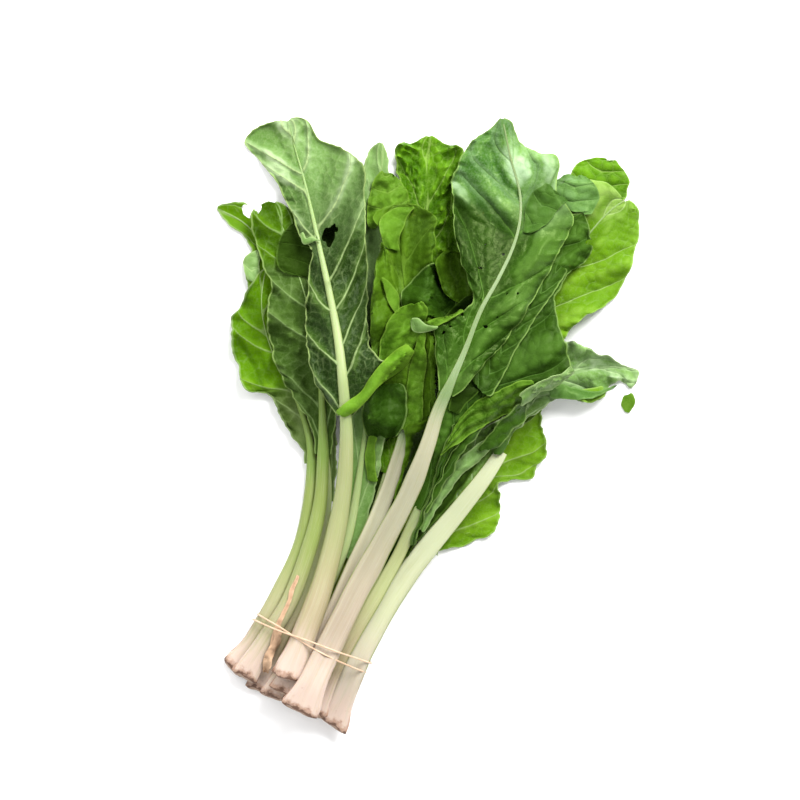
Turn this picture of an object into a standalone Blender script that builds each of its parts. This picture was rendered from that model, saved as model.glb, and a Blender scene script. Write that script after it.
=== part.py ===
"""A bunch of white-stalked chard, lying on a flat surface with a rubber band wound twice round its stalks.

Metres, +Z up. The cut ends point to -Y, the leaf tips to +Y, and the origin is on the surface under the
middle of the bunch. The leaf table and the working functions are in millimetres. Every leaf is two solids:
the pale stalk with the rib that it runs into, and the green blade, whose slot the rib fills. The leaves
are laid down one after another, and each comes to rest on the surface and on the leaves under it.
"""

import math
from dataclasses import dataclass

import bmesh
import bpy
import numpy as np

MM = 0.001

# Stalks and ribs
STALK_SIDES = 10
STALK_RINGS = 20
FOOT_FLARE = 0.45  # width gained at the cut end, as a share
FOOT_LENGTH = 13.0
FOOT_SLANT = 0.35  # how far out of square the stalks are cut
STALK_DEPTH = 0.62  # as a share of the width
RIB_TIP = 1.3  # width of the rib where it stops
RIB_POWER = 1.7  # how quickly the rib narrows above the blade's base
ROUND_SIDE = 0.58  # how far each side stands out, as a share of the depth
FLAT_SIDE = 0.34
GROOVE = 0.16  # depth of the groove along the flat side, as a share of the depth

# Blades
BLADE_ROWS = 20
BLADE_COLUMNS = 4
BLADE_THICKNESS = 0.8
BLADE_END = 0.985  # share of the blade's length where the last row crosses the tip
RIB_GAP = 0.75  # between the rib's side and the middle of the blade's edge
BASE_SPREAD = 2.5  # how far the blade stands out from the stalk where it begins
FULL_RUFFLE = 18.0  # a row shorter than this from rib to margin waves less

# How leaves rest on each other
GAP = 0.45
CELL = 1.0  # of the grid that keeps how high the pile reaches
REACH = 240  # from the middle of the grid to its sides
BESIDE_RIB = (8.0, 14.0)  # places on either side of a rib that it must pass over too
STALK_SLOPE = 0.30  # steepest that a stalk comes down from what it lies on
STALK_BLUR = 14.0
LAY_ROUNDS = 36  # steps in which a leaf is raised clear of what is under it
EVEN_ROUNDS = 24  # of those, the ones that also spread the lift over the blade
FLAT_SPOT = 1.2  # depth of the flat underside of the lowest stalk

# Rubber band
BAND_DIAMETER = 1.4
BAND_CLEARANCE = 0.35
BAND_AT = (-17.0, -159.0)
BAND_TURN = -9.0
BAND_SPREAD = 4.0  # how far each turn wanders along the stalks, to either side
BAND_CROSSES = 125.0  # angle round the stalks where the two turns cross
BAND_POINTS = 64  # in each turn
BAND_ROOM = 4.9  # height kept free for the band under the stalks

# Brings the middle of the bunch over the origin
CENTRING = (-0.8, 0.0)


@dataclass(frozen=True)
class Leaf:
    """One leaf. Lengths are in millimetres, and places are seen from above."""

    name: str
    width: float  # of the stalk above its foot
    neck: float  # width of the stalk where the blade begins
    blade_from: float  # share of the route where the blade begins
    rib_rows: int  # rows of the blade that the rib runs beside
    face: int  # +1 with the upper face up, -1 with the lower face up
    rise: tuple  # how far the left and right margins stand above the rib, or below it if negative
    ruffle: float  # height of the waves along the margin
    waves: float  # number of those waves
    phase: float
    green: tuple
    route: tuple  # where stalk and rib run, from the cut end to the tip
    left: tuple  # margin from base to tip: how far along the blade each place's row starts, and the place
    right: tuple


LEAVES = (
    Leaf(
        "leaf_low_right", width=11, neck=8, blade_from=0.49, rib_rows=17, face=-1, rise=(0, -3),
        ruffle=4.5, waves=4.5, phase=0.1, green=(0.2, 0.44, 0.03),
        route=((6, -206), (12, -166), (24, -127), (40, -89), (53, -57), (63, -27), (72, 2), (78, 30),
               (84, 52)),
        left=((0.08, 43, -65), (0.19, 44, -46), (0.36, 48, -24), (0.50, 53, -3), (0.69, 61, 19),
              (0.86, 70, 40), (0.96, 78, 49)),
        right=((0.04, 58, -76), (0.10, 73, -68), (0.15, 85, -60), (0.24, 87, -47), (0.33, 83, -36),
               (0.37, 77, -30), (0.43, 82, -21), (0.45, 94, -21), (0.48, 102, -16), (0.53, 98, -8),
               (0.58, 105, -2), (0.67, 101, 12), (0.78, 94, 25), (0.90, 89, 40)),
    ),
    Leaf(
        "leaf_far_left", width=11, neck=8, blade_from=0.38, rib_rows=17, face=1, rise=(-4, -2),
        ruffle=5.0, waves=4.0, phase=0.6, green=(0.2, 0.42, 0.03),
        route=((-41, -199), (-34, -159), (-27, -123), (-27, -82), (-37, -40), (-58, -5), (-82, 33),
               (-98, 63), (-113, 86), (-130, 98), (-151, 103)),
        left=((0.13, -48, -40), (0.28, -71, -15), (0.44, -91, 14), (0.57, -106, 40), (0.65, -115, 55),
              (0.71, -122, 67), (0.76, -121, 76), (0.80, -119, 83), (0.85, -126, 89), (0.92, -139, 94)),
        right=((0.16, -32, -25), (0.27, -44, -1), (0.42, -60, 29), (0.58, -76, 59), (0.70, -91, 81),
               (0.81, -108, 98), (0.88, -124, 107), (0.92, -134, 111), (0.95, -143, 110)),
    ),
    Leaf(
        "leaf_back_right", width=11, neck=8.5, blade_from=0.39, rib_rows=17, face=1, rise=(4, -5),
        ruffle=7.0, waves=4.5, phase=0.35, green=(0.22, 0.47, 0.02),
        route=((-6, -204), (2, -165), (14, -127), (30, -86), (48, -38), (62, 17), (73, 75), (84, 123),
               (94, 153), (102, 175), (111, 190)),
        left=((0.06, 36, -28), (0.17, 36, 3), (0.29, 40, 35), (0.42, 42, 66), (0.54, 45, 98),
              (0.65, 51, 127), (0.74, 57, 152), (0.81, 62, 172), (0.87, 69, 184), (0.91, 74, 194),
              (0.94, 82, 199), (0.96, 93, 202), (0.98, 104, 200)),
        right=((0.09, 65, -28), (0.22, 78, 5), (0.37, 87, 42), (0.47, 94, 68), (0.52, 97, 81),
               (0.57, 102, 93), (0.61, 113, 104), (0.64, 122, 112), (0.69, 125, 123), (0.77, 127, 139),
               (0.84, 126, 155), (0.92, 124, 171), (0.97, 120, 181)),
    ),
    Leaf(
        "leaf_left", width=12, neck=7, blade_from=0.52, rib_rows=17, face=-1, rise=(-3, 2),
        ruffle=6.0, waves=4.5, phase=0.2, green=(0.22, 0.47, 0.02),
        route=((-60, -190), (-51, -166), (-43, -132), (-38, -99), (-41, -62), (-49, -33), (-65, -7),
               (-83, 12), (-97, 32), (-105, 51), (-108, 73)),
        left=((0.07, -54, -36), (0.14, -64, -28), (0.24, -74, -19), (0.35, -81, -8), (0.39, -92, -9),
              (0.43, -103, -9), (0.48, -105, 0), (0.54, -112, 8), (0.61, -115, 17), (0.68, -120, 28),
              (0.76, -121, 38), (0.81, -118, 48), (0.87, -114, 57), (0.95, -112, 67)),
        right=((0.08, -42, -28), (0.19, -49, -13), (0.31, -58, 2), (0.41, -69, 16), (0.58, -80, 34),
               (0.74, -90, 51), (0.92, -98, 66)),
    ),
    Leaf(
        "leaf_top_middle", width=11, neck=8, blade_from=0.42, rib_rows=15, face=1, rise=(8, 8),
        ruffle=8.0, waves=5.5, phase=0.0, green=(0.17, 0.4, 0.03),
        route=((-17, -202), (-10, -163), (0, -119), (5, -77), (7, -35), (6, 5), (0, 52), (-7, 98),
               (-16, 143), (-26, 187)),
        left=((0.04, -4, -25), (0.14, -12, 0), (0.29, -20, 33), (0.43, -26, 65), (0.58, -32, 98),
              (0.72, -35, 128), (0.81, -36, 148), (0.87, -41, 161), (0.92, -46, 172), (0.94, -42, 177),
              (0.97, -33, 180)),
        right=((0.07, 15, -20), (0.17, 23, 6), (0.28, 29, 38), (0.39, 34, 67), (0.53, 32, 101),
               (0.69, 18, 135), (0.80, 3, 155), (0.87, 1, 171), (0.92, -1, 183), (0.95, -11, 184)),
    ),
    Leaf(
        "leaf_pale_tip", width=11, neck=8, blade_from=0.27, rib_rows=15, face=-1, rise=(5, 5),
        ruffle=5.0, waves=4.5, phase=0.4, green=(0.24, 0.42, 0.1),
        route=((-30, -200), (-22, -160), (-13, -119), (-9, -81), (-13, -37), (-19, 6), (-27, 51),
               (-36, 97), (-45, 135), (-55, 174)),
        left=((0.08, -14, -75), (0.19, -22, -43), (0.31, -29, -11), (0.47, -38, 35), (0.64, -47, 80),
              (0.79, -56, 119), (0.87, -60, 141), (0.93, -62, 156), (0.97, -61, 168)),
        right=((0.02, 0, -95), (0.08, 1, -75), (0.15, 1, -51), (0.25, -1, -24), (0.36, -4, 10),
               (0.51, -12, 48), (0.65, -21, 87), (0.77, -30, 119), (0.86, -37, 140), (0.90, -43, 151),
               (0.95, -48, 164)),
    ),
    Leaf(
        "leaf_dark_left", width=13, neck=8, blade_from=0.48, rib_rows=17, face=-1, rise=(-3, 4),
        ruffle=6.0, waves=5.0, phase=0.7, green=(0.08, 0.22, 0.04),
        route=((-51, -193), (-43, -164), (-35, -136), (-32, -104), (-32, -73), (-38, -41), (-47, -9),
               (-60, 29), (-76, 59), (-95, 88), (-114, 117)),
        left=((0.08, -50, -22), (0.15, -63, -10), (0.22, -75, 1), (0.30, -86, 13), (0.42, -94, 30),
              (0.56, -100, 49), (0.66, -102, 64), (0.73, -110, 73), (0.79, -116, 82), (0.86, -122, 93),
              (0.92, -126, 101), (0.96, -127, 108), (0.98, -124, 114)),
        right=((0.07, -36, -19), (0.19, -37, 4), (0.35, -44, 33), (0.50, -55, 61), (0.66, -69, 84),
               (0.80, -85, 103), (0.89, -96, 113), (0.96, -106, 117)),
    ),
    Leaf(
        "leaf_middle", width=14, neck=9, blade_from=0.56, rib_rows=8, face=1, rise=(20, 12),
        ruffle=7.0, waves=5.0, phase=0.15, green=(0.13, 0.33, 0.04),
        route=((-24, -195), (-14, -167), (-5, -138), (1, -102), (7, -66), (10, -31), (10, -4), (5, 26),
               (-5, 57), (-17, 88), (-26, 113), (-31, 137)),
        left=((0.02, -1, -10), (0.04, -14, -14), (0.05, -20, -3), (0.15, -21, 19), (0.34, -26, 45),
              (0.54, -33, 70), (0.71, -39, 96), (0.84, -48, 115), (0.90, -47, 125), (0.96, -40, 132)),
        right=((0.02, 19, -6), (0.06, 24, 9), (0.18, 20, 30), (0.36, 12, 55), (0.50, 3, 76),
               (0.62, 0, 96), (0.77, -4, 119), (0.90, -8, 135), (0.97, -20, 139)),
    ),
    Leaf(
        "leaf_right", width=16, neck=11, blade_from=0.40, rib_rows=9, face=1, rise=(18, -4),
        ruffle=6.0, waves=4.0, phase=0.3, green=(0.16, 0.38, 0.03),
        route=((12, -208), (16, -183), (20, -155), (28, -121), (42, -84), (58, -49), (70, -20),
               (77, 2), (84, 26), (93, 47), (109, 60), (130, 68), (151, 71)),
        left=((0.02, 34, -69), (0.04, 26, -51), (0.12, 28, -30), (0.24, 37, -12), (0.35, 51, 2),
              (0.46, 67, 15), (0.55, 74, 29), (0.63, 81, 46), (0.69, 87, 63), (0.73, 94, 77),
              (0.79, 107, 78), (0.85, 123, 75), (0.93, 138, 72)),
        right=((0.05, 56, -71), (0.16, 66, -50), (0.27, 75, -29), (0.38, 82, -8), (0.46, 85, 7),
               (0.53, 87, 21), (0.60, 96, 34), (0.65, 107, 40), (0.69, 117, 41), (0.81, 130, 46),
               (0.85, 132, 53), (0.91, 138, 61), (0.95, 149, 57)),
    ),
    Leaf(
        "leaf_inner_right", width=11, neck=8, blade_from=0.40, rib_rows=6, face=1, rise=(4, -6),
        ruffle=6.0, waves=4.5, phase=0.8, green=(0.09, 0.26, 0.03),
        route=((0, -204), (7, -163), (17, -126), (26, -92), (31, -63), (37, -33), (44, -2), (52, 26),
               (56, 52), (58, 75), (61, 100), (67, 128), (76, 147), (87, 163)),
        left=((0.09, 28, -30), (0.19, 25, -3), (0.28, 25, 24), (0.41, 29, 51), (0.55, 35, 79),
              (0.69, 44, 108), (0.81, 54, 134), (0.93, 71, 157)),
        right=((0.02, 40, -50), (0.10, 45, -32), (0.18, 50, -14), (0.29, 59, 10), (0.36, 69, 28),
               (0.40, 81, 39), (0.42, 94, 47), (0.46, 107, 58), (0.51, 100, 70), (0.57, 93, 80),
               (0.62, 87, 90), (0.68, 83, 101), (0.75, 84, 116), (0.82, 96, 130), (0.92, 99, 144),
               (0.96, 94, 153)),
    ),
    Leaf(
        "leaf_front_left", width=17, neck=7.5, blade_from=0.47, rib_rows=18, face=-1, rise=(-10, -6),
        ruffle=5.5, waves=4.5, phase=0.55, green=(0.15, 0.3, 0.07),
        route=((-22, -185), (-20, -160), (-17, -124), (-17, -86), (-20, -53), (-26, -24), (-33, -2),
               (-46, 33), (-60, 63), (-74, 90), (-85, 111), (-98, 135), (-110, 155), (-120, 172)),
        left=((0.02, -43, -4), (0.07, -55, 6), (0.15, -64, 21), (0.26, -71, 39), (0.38, -76, 60),
              (0.48, -79, 80), (0.56, -80, 94), (0.58, -90, 96), (0.66, -100, 111), (0.73, -109, 122),
              (0.79, -119, 132), (0.84, -131, 141), (0.90, -146, 149), (0.95, -140, 160),
              (0.98, -131, 167)),
        right=((0.02, -18, 12), (0.05, 0, 47), (0.09, -15, 31), (0.18, -28, 40), (0.29, -35, 63),
               (0.40, -42, 88), (0.52, -50, 113), (0.62, -56, 136), (0.71, -62, 156), (0.77, -73, 161),
               (0.83, -85, 163), (0.87, -95, 163), (0.94, -104, 173), (0.98, -112, 177)),
    ),
    Leaf(
        "leaf_front_right", width=18, neck=10, blade_from=0.54, rib_rows=16, face=1, rise=(-7, -10),
        ruffle=5.0, waves=5.0, phase=0.25, green=(0.07, 0.22, 0.04),
        route=((-10, -203), (-3, -164), (5, -125), (14, -85), (22, -50), (26, -17), (27, 8), (30, 29),
               (34, 54), (37, 81), (43, 105), (47, 127), (47, 146), (42, 165), (30, 186), (18, 210)),
        left=((0.02, 23, 27), (0.09, 15, 49), (0.15, 10, 65), (0.21, 20, 71), (0.26, 26, 78),
              (0.32, 32, 88), (0.34, 24, 99), (0.37, 16, 111), (0.41, 8, 125), (0.49, 1, 144),
              (0.71, -3, 161), (0.84, -1, 176), (0.89, 3, 188), (0.94, 10, 198), (0.96, 16, 203)),
        right=((0.02, 39, 27), (0.13, 50, 51), (0.21, 60, 71), (0.35, 68, 94), (0.44, 73, 114),
               (0.53, 77, 132), (0.60, 82, 150), (0.63, 81, 161), (0.67, 69, 166), (0.71, 63, 177),
               (0.74, 64, 188), (0.77, 61, 198), (0.81, 49, 195), (0.88, 37, 197), (0.94, 27, 204)),
    ),
)


def smooth_curve(points, count=400):
    """Places evenly spaced along a Catmull-Rom curve through the points, and the curve's length."""
    given = np.array(points, float)
    knots = np.vstack([2 * given[0] - given[1], given, 2 * given[-1] - given[-2]])
    t = np.linspace(0, 1, 24, endpoint=False)[:, None]
    spans = []
    for a, b, c, d in zip(knots, knots[1:], knots[2:], knots[3:]):
        spans.append(0.5 * (2 * b + (c - a) * t + (2 * a - 5 * b + 4 * c - d) * t**2
                            + (3 * b - a - 3 * c + d) * t**3))
    fine = np.vstack([*spans, given[-1:]])
    steps = np.linalg.norm(np.diff(fine, axis=0), axis=1)
    along = np.concatenate([[0], np.cumsum(steps)])
    even = np.linspace(0, along[-1], count)
    return np.column_stack([np.interp(even, along, fine[:, k]) for k in range(given.shape[1])]), along[-1]


class Route:
    """A leaf's line from its cut end to its tip, seen from above."""

    def __init__(self, leaf):
        self.points, self.length = smooth_curve(leaf.route)
        ahead = np.gradient(self.points, axis=0)
        self.ahead = ahead / np.linalg.norm(ahead, axis=1)[:, None]
        self.share = np.linspace(0, 1, len(self.points))

    def at(self, s):
        """Centre, direction ahead and direction to the right at each share s of the route."""
        centre = np.column_stack([np.interp(s, self.share, self.points[:, k]) for k in (0, 1)])
        ahead = np.column_stack([np.interp(s, self.share, self.ahead[:, k]) for k in (0, 1)])
        return centre, ahead, np.column_stack([ahead[:, 1], -ahead[:, 0]])


def rib_end(leaf):
    """Share of the route where the rib stops, a little beyond the last row that it parts."""
    return leaf.blade_from + (leaf.rib_rows - 0.8) / BLADE_ROWS * BLADE_END * (1 - leaf.blade_from)


def stalk_size(leaf, length, s):
    """Width and depth of the stalk or rib at each share s of the route."""
    below = leaf.width + (leaf.neck - leaf.width) * s / leaf.blade_from
    left_over = np.clip((rib_end(leaf) - s) / (rib_end(leaf) - leaf.blade_from), 0, 1)
    above = RIB_TIP + (leaf.neck - RIB_TIP) * left_over**RIB_POWER
    width = np.where(s < leaf.blade_from, below, above)
    foot = np.exp(-((s * length / FOOT_LENGTH) ** 2))
    return width * (1 + FOOT_FLARE * foot), width * STALK_DEPTH * (1 - 0.15 * foot)


def stalk_section(leaf, s, across):
    """Heights of the round and the flat side from the section's widest line, as shares of the depth."""
    bulge = np.sqrt(np.clip(1 - across**2, 0, 1))
    on_rib = np.clip((s - leaf.blade_from) / 0.1 + 0.5, 0, 1)
    flat = FLAT_SIDE * (1 - 0.5 * on_rib) * bulge**0.7
    flat = flat - GROOVE * (1 - on_rib) * np.exp(-((across / 0.45) ** 2))
    return ROUND_SIDE * bulge, flat


def from_band(xy):
    """Distance of places seen from above from the middle of the band, across the bunch and along it."""
    turn = math.radians(BAND_TURN)
    away = xy - np.array(BAND_AT)
    return away @ [math.cos(turn), math.sin(turn)], away @ [-math.sin(turn), math.cos(turn)]


class Pile:
    """How high the leaves laid so far reach, on a grid of square cells seen from above.

    It starts with the surface, where nothing keeps a gap, and with the room for the rubber band.
    """

    def __init__(self):
        cells = int(2 * REACH / CELL)
        middle = (np.arange(cells) + 0.5) * CELL - REACH
        _, along = from_band(np.stack(np.meshgrid(middle, middle, indexing="ij"), axis=-1))
        self.top = np.where(np.abs(along) < BAND_SPREAD + BAND_DIAMETER, BAND_ROOM, -GAP)
        self.spread = self.top

    def cell(self, xy):
        """The grid cell of each point."""
        index = np.floor((xy + REACH) / CELL).astype(int)
        return index[..., 0], index[..., 1]

    def under(self, xy):
        """The highest thing in or beside the cell of each point."""
        return self.spread[self.cell(xy)]

    def add(self, points):
        """Takes in the upper side of a leaf that has been laid, given as closely spaced points."""
        np.maximum.at(self.top, self.cell(points[:, :2]), points[:, 2])
        padded = np.pad(self.top, 1)
        rows, columns = self.top.shape
        shifts = [padded[i:i + rows, j:j + columns] for i in range(3) for j in range(3)]
        self.spread = np.max(shifts, axis=0)


def triangle_shares(steps):
    """Barycentric weights of an even spread of places in a triangle."""
    return np.array([(i, j, steps - i - j) for i in range(steps + 1) for j in range(steps + 1 - i)]) / steps


def spread_over(points, triangles, shares):
    """Places spread over each triangle, as an array of triangle, place and coordinate."""
    return np.einsum("pk,tkc->tpc", shares, points[triangles])


def steepness(points, triangles):
    """One over the cosine of each triangle's slope."""
    a, b, c = (points[triangles[:, k]] for k in range(3))
    normal = np.cross(b - a, c - a)
    size = np.linalg.norm(normal, axis=1)
    return size / np.maximum(np.abs(normal[:, 2]), 0.05 * size)


def blur(values, spacing, sigma):
    """The values along a line, smoothed over about sigma, with the ends held level."""
    reach = int(3 * sigma / spacing)
    kernel = np.exp(-0.5 * (np.arange(-reach, reach + 1) * spacing / sigma) ** 2)
    padded = np.concatenate([np.full(reach, values[0]), values, np.full(reach, values[-1])])
    return np.convolve(padded, kernel / kernel.sum(), mode="valid")


def rib_heights(leaf, route, pile, first):
    """Height of the stalk's and rib's widest line at even shares of the route, lying on what is under it.

    The first leaf sinks a little, which leaves its stalk a flat underside where it meets the surface."""
    s = np.linspace(0, 1, 160)
    spacing = route.length / (len(s) - 1)
    centre, _, right = route.at(s)
    width, depth = stalk_size(leaf, route.length, s)
    across = np.linspace(-1, 1, 9)
    places = centre[:, None] + right[:, None] * (across[None, :, None] * width[:, None, None] / 2)
    bulge, flat = stalk_section(leaf, s[:, None], across[None])
    hang = (bulge if leaf.face > 0 else flat) * depth[:, None]
    need = (pile.under(places) + hang).max(axis=1) + GAP
    beside = width[:, None] / 2 + np.array(BESIDE_RIB)
    wings = centre[:, None] + right[:, None] * np.hstack([-beside, beside])[..., None]
    wing_need = pile.under(wings).max(axis=1) + GAP + BLADE_THICKNESS
    need = np.where(s > leaf.blade_from, np.maximum(need, wing_need), need)
    apart = np.abs(s[:, None] - s[None]) * route.length
    aim = (need[None] - STALK_SLOPE * apart).max(axis=1)
    for _ in range(LAY_ROUNDS):
        height = blur(aim, spacing, STALK_BLUR)
        aim = aim + np.clip(need - height, 0, None)
    if first:
        return s, height - (height - hang.max(axis=1)).min() - FLAT_SPOT
    return s, height + max(0.0, (need - height).max())


def stalk_mesh(leaf, route, heights):
    """The stalk and rib as a closed loft of unlike sections."""
    s = rib_end(leaf) * np.linspace(0, 1, STALK_RINGS)
    centre, ahead, right = route.at(s)
    width, depth = stalk_size(leaf, route.length, s)
    level = np.interp(s, *heights)
    angle = (np.arange(STALK_SIDES) + 0.5) * 2 * math.pi / STALK_SIDES
    across = np.cos(angle)
    bulge, flat = stalk_section(leaf, s[:, None], across[None])
    above, below = (flat, bulge) if leaf.face > 0 else (bulge, flat)
    up = np.where(np.sin(angle) > 0, above, -below)
    points = np.empty((len(s), STALK_SIDES, 3))
    points[:, :, :2] = centre[:, None] + right[:, None] * (across * width[:, None] / 2)[:, :, None]
    points[:, :, 2] = np.maximum(level[:, None] + up * depth[:, None], 0)
    slant = FOOT_SLANT * np.sin(7 * leaf.phase * math.pi)
    points[0, :, :2] += ahead[0] * (slant * across * width[0] / 2)[:, None]
    mesh = bmesh.new()
    rings = [[mesh.verts.new(p) for p in ring] for ring in points]
    for lower, upper in zip(rings, rings[1:]):
        for k in range(STALK_SIDES):
            j = (k + 1) % STALK_SIDES
            mesh.faces.new((lower[k], lower[j], upper[j], upper[k]))
    mesh.faces.new(rings[0])
    mesh.faces.new(rings[-1])
    bmesh.ops.recalc_face_normals(mesh, faces=mesh.faces)
    bmesh.ops.triangulate(mesh, faces=mesh.faces)
    return mesh


def blade_sheet(rib_rows):
    """An open sheet whose X is the share along the blade and whose Y is the share out to either margin.

    A slot runs up the middle as far as the rib does, and the halves join beyond it.
    """
    mesh = bmesh.new()
    edge = 0.001
    for side in (-1, 1):
        half = bmesh.ops.create_grid(mesh, x_segments=BLADE_ROWS, y_segments=BLADE_COLUMNS, size=0.5)
        for vert in half["verts"]:
            row = round((vert.co.x + 0.5) * BLADE_ROWS)
            inner = edge if row < rib_rows else 0.0
            vert.co.x = row / BLADE_ROWS * BLADE_END
            vert.co.y = side * (inner + (1 - inner) * (vert.co.y * side + 0.5))
    bmesh.ops.remove_doubles(mesh, verts=mesh.verts, dist=1e-5)
    bmesh.ops.recalc_face_normals(mesh, faces=mesh.faces)
    bmesh.ops.triangulate(mesh, faces=mesh.faces, quad_method="FIXED")
    mesh.verts.ensure_lookup_table()
    return mesh


def margin(leaf, route, side, along):
    """Places on the left or right margin, for rows that start at the given shares of the blade's length."""
    base, _, right = route.at(np.array([leaf.blade_from]))
    start = base[0] + right[0] * side * (leaf.neck / 2 + BASE_SPREAD)
    knots = np.array([(0, *start), *(leaf.left if side < 0 else leaf.right), (1, *leaf.route[-1])])
    return np.column_stack([np.interp(along, knots[:, 0], knots[:, k]) for k in (1, 2)])


def blade_plan(leaf, route, along, out):
    """Where each place of the blade lies, its share of the route and its row's length from rib to margin."""
    s = leaf.blade_from + along * (1 - leaf.blade_from)
    centre, _, right = route.at(s)
    width, _ = stalk_size(leaf, route.length, s)
    start = (width / 2 + RIB_GAP) * np.clip(leaf.rib_rows - along / BLADE_END * BLADE_ROWS, 0, 1)
    inner = centre + right * (np.sign(out) * start)[:, None]
    outer = np.where((out < 0)[:, None], margin(leaf, route, -1, along), margin(leaf, route, 1, along))
    plan = inner + (outer - inner) * np.abs(out)[:, None]
    return plan, s, np.linalg.norm(outer - inner, axis=1)


def blade_heights(leaf, along, out, s, reach, heights):
    """How high each place of the blade would stand with nothing under it."""
    rise = np.where(out < 0, leaf.rise[0], leaf.rise[1])
    body = np.sin(math.pi * np.clip(0.08 + along * 0.9, 0, 1)) ** 0.6
    wave = np.sin(2 * math.pi * (leaf.waves * along + leaf.phase + np.where(out < 0, 0.0, 0.45)))
    wave = wave + 0.4 * np.sin(2 * math.pi * (1.7 * leaf.waves * along + 2.3 * leaf.phase + out))
    spread = np.clip(reach / FULL_RUFFLE, 0, 1)
    return np.interp(s, *heights) + spread * (rise * body * np.abs(out) ** 1.5
                                              + leaf.ruffle * wave * out**2 * (0.35 + 0.65 * body))


def rest_on(pile, plan, height, triangles, held):
    """The heights raised until the whole sheet clears what is under it. The held places rise least."""
    shares = triangle_shares(14)
    ends = np.vstack([triangles[:, [0, 1]], triangles[:, [1, 2]], triangles[:, [2, 0]]])
    count = np.bincount(ends.ravel(), minlength=len(height))
    lift = np.zeros(len(height))

    def shortfall(level):
        points = np.column_stack([plan, level])
        places = spread_over(points, triangles, shares)
        wall = BLADE_THICKNESS / 2 * steepness(points, triangles)
        short = (pile.under(places[..., :2]) - places[..., 2]).max(axis=1) + wall + GAP
        worst = np.full(len(level), -1e3)
        for k in range(3):
            np.maximum.at(worst, triangles[:, k], short)
        return worst

    for step in range(LAY_ROUNDS):
        lift = lift + np.clip(shortfall(height + lift), 0, None) * 0.8
        if step < EVEN_ROUNDS:
            total = np.zeros(len(height))
            np.add.at(total, ends[:, 0], lift[ends[:, 1]])
            np.add.at(total, ends[:, 1], lift[ends[:, 0]])
            lift = 0.5 * lift + 0.5 * total / count
            lift[held] *= 0.6
    for _ in range(60):
        short = shortfall(height + lift)
        if short.max() <= 0:
            break
        lift = lift + np.clip(short, 0, None) + 0.01 * (short > 0)
    return height + lift


def material(name, colour, roughness):
    """A plain finish for one kind of piece."""
    made = bpy.data.materials.get(name) or bpy.data.materials.new(name)
    made.use_nodes = True
    shader = made.node_tree.nodes["Principled BSDF"]
    shader.inputs["Base Color"].default_value = (*colour, 1)
    shader.inputs["Roughness"].default_value = roughness
    shader.inputs["Metallic"].default_value = 0
    return made


def place_mesh(name, mesh, finish, collection):
    """The bmesh, in millimetres, as a named object in metres."""
    data = bpy.data.meshes.new(name)
    bmesh.ops.translate(mesh, vec=(*CENTRING, 0), verts=mesh.verts)
    bmesh.ops.scale(mesh, vec=(MM, MM, MM), verts=mesh.verts)
    mesh.to_mesh(data)
    mesh.free()
    data.materials.append(finish)
    thing = bpy.data.objects.new(name, data)
    collection.objects.link(thing)
    return thing


def build_leaf(leaf, pile, first, collection):
    """Lays one leaf on the pile, its stalk and rib and then its blade.

    Returns places over the stalk's sides.
    """
    route = Route(leaf)
    heights = rib_heights(leaf, route, pile, first)
    stalk = stalk_mesh(leaf, route, heights)
    stalk_points = np.array([v.co[:] for v in stalk.verts])
    stalk_faces = np.array([[v.index for v in f.verts] for f in stalk.faces])

    sheet = blade_sheet(leaf.rib_rows)
    share = np.array([v.co[:2] for v in sheet.verts])
    faces = np.array([[v.index for v in f.verts] for f in sheet.faces])
    plan, s, reach = blade_plan(leaf, route, share[:, 0], share[:, 1])
    own = blade_heights(leaf, share[:, 0], share[:, 1], s, reach, heights)
    level = rest_on(pile, plan, own, faces, np.abs(share[:, 1]) < 0.01)
    points = np.column_stack([plan, level])
    for vert, point in zip(sheet.verts, points):
        vert.co = point
    wall = BLADE_THICKNESS / 2 * steepness(points, faces)
    over = spread_over(points, faces, triangle_shares(16))
    over[..., 2] += wall[:, None]
    pile.add(over.reshape(-1, 3))
    sides = spread_over(stalk_points, stalk_faces, triangle_shares(16)).reshape(-1, 3)
    pile.add(sides)

    place_mesh(leaf.name + "_stalk", stalk, material("stalk", (0.86, 0.84, 0.66), 0.4), collection)
    blade = place_mesh(leaf.name + "_blade", sheet, material(leaf.name, leaf.green, 0.45), collection)
    solid = blade.modifiers.new("Thickness", "SOLIDIFY")
    solid.thickness = BLADE_THICKNESS * MM
    solid.offset = 0
    return sides


def hull_of(places):
    """Corners of the tightest convex outline round the places of a plane, anticlockwise."""
    order = sorted(map(tuple, places))
    corners = []
    for line in (order, order[::-1]):
        chain = []
        for place in line:
            while len(chain) > 1:
                (ax, ay), (bx, by) = chain[-2:]
                if (bx - ax) * (place[1] - ay) - (by - ay) * (place[0] - ax) > 0:
                    break
                chain.pop()
            chain.append(place)
        corners += chain[:-1]
    return np.array(corners)


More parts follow.
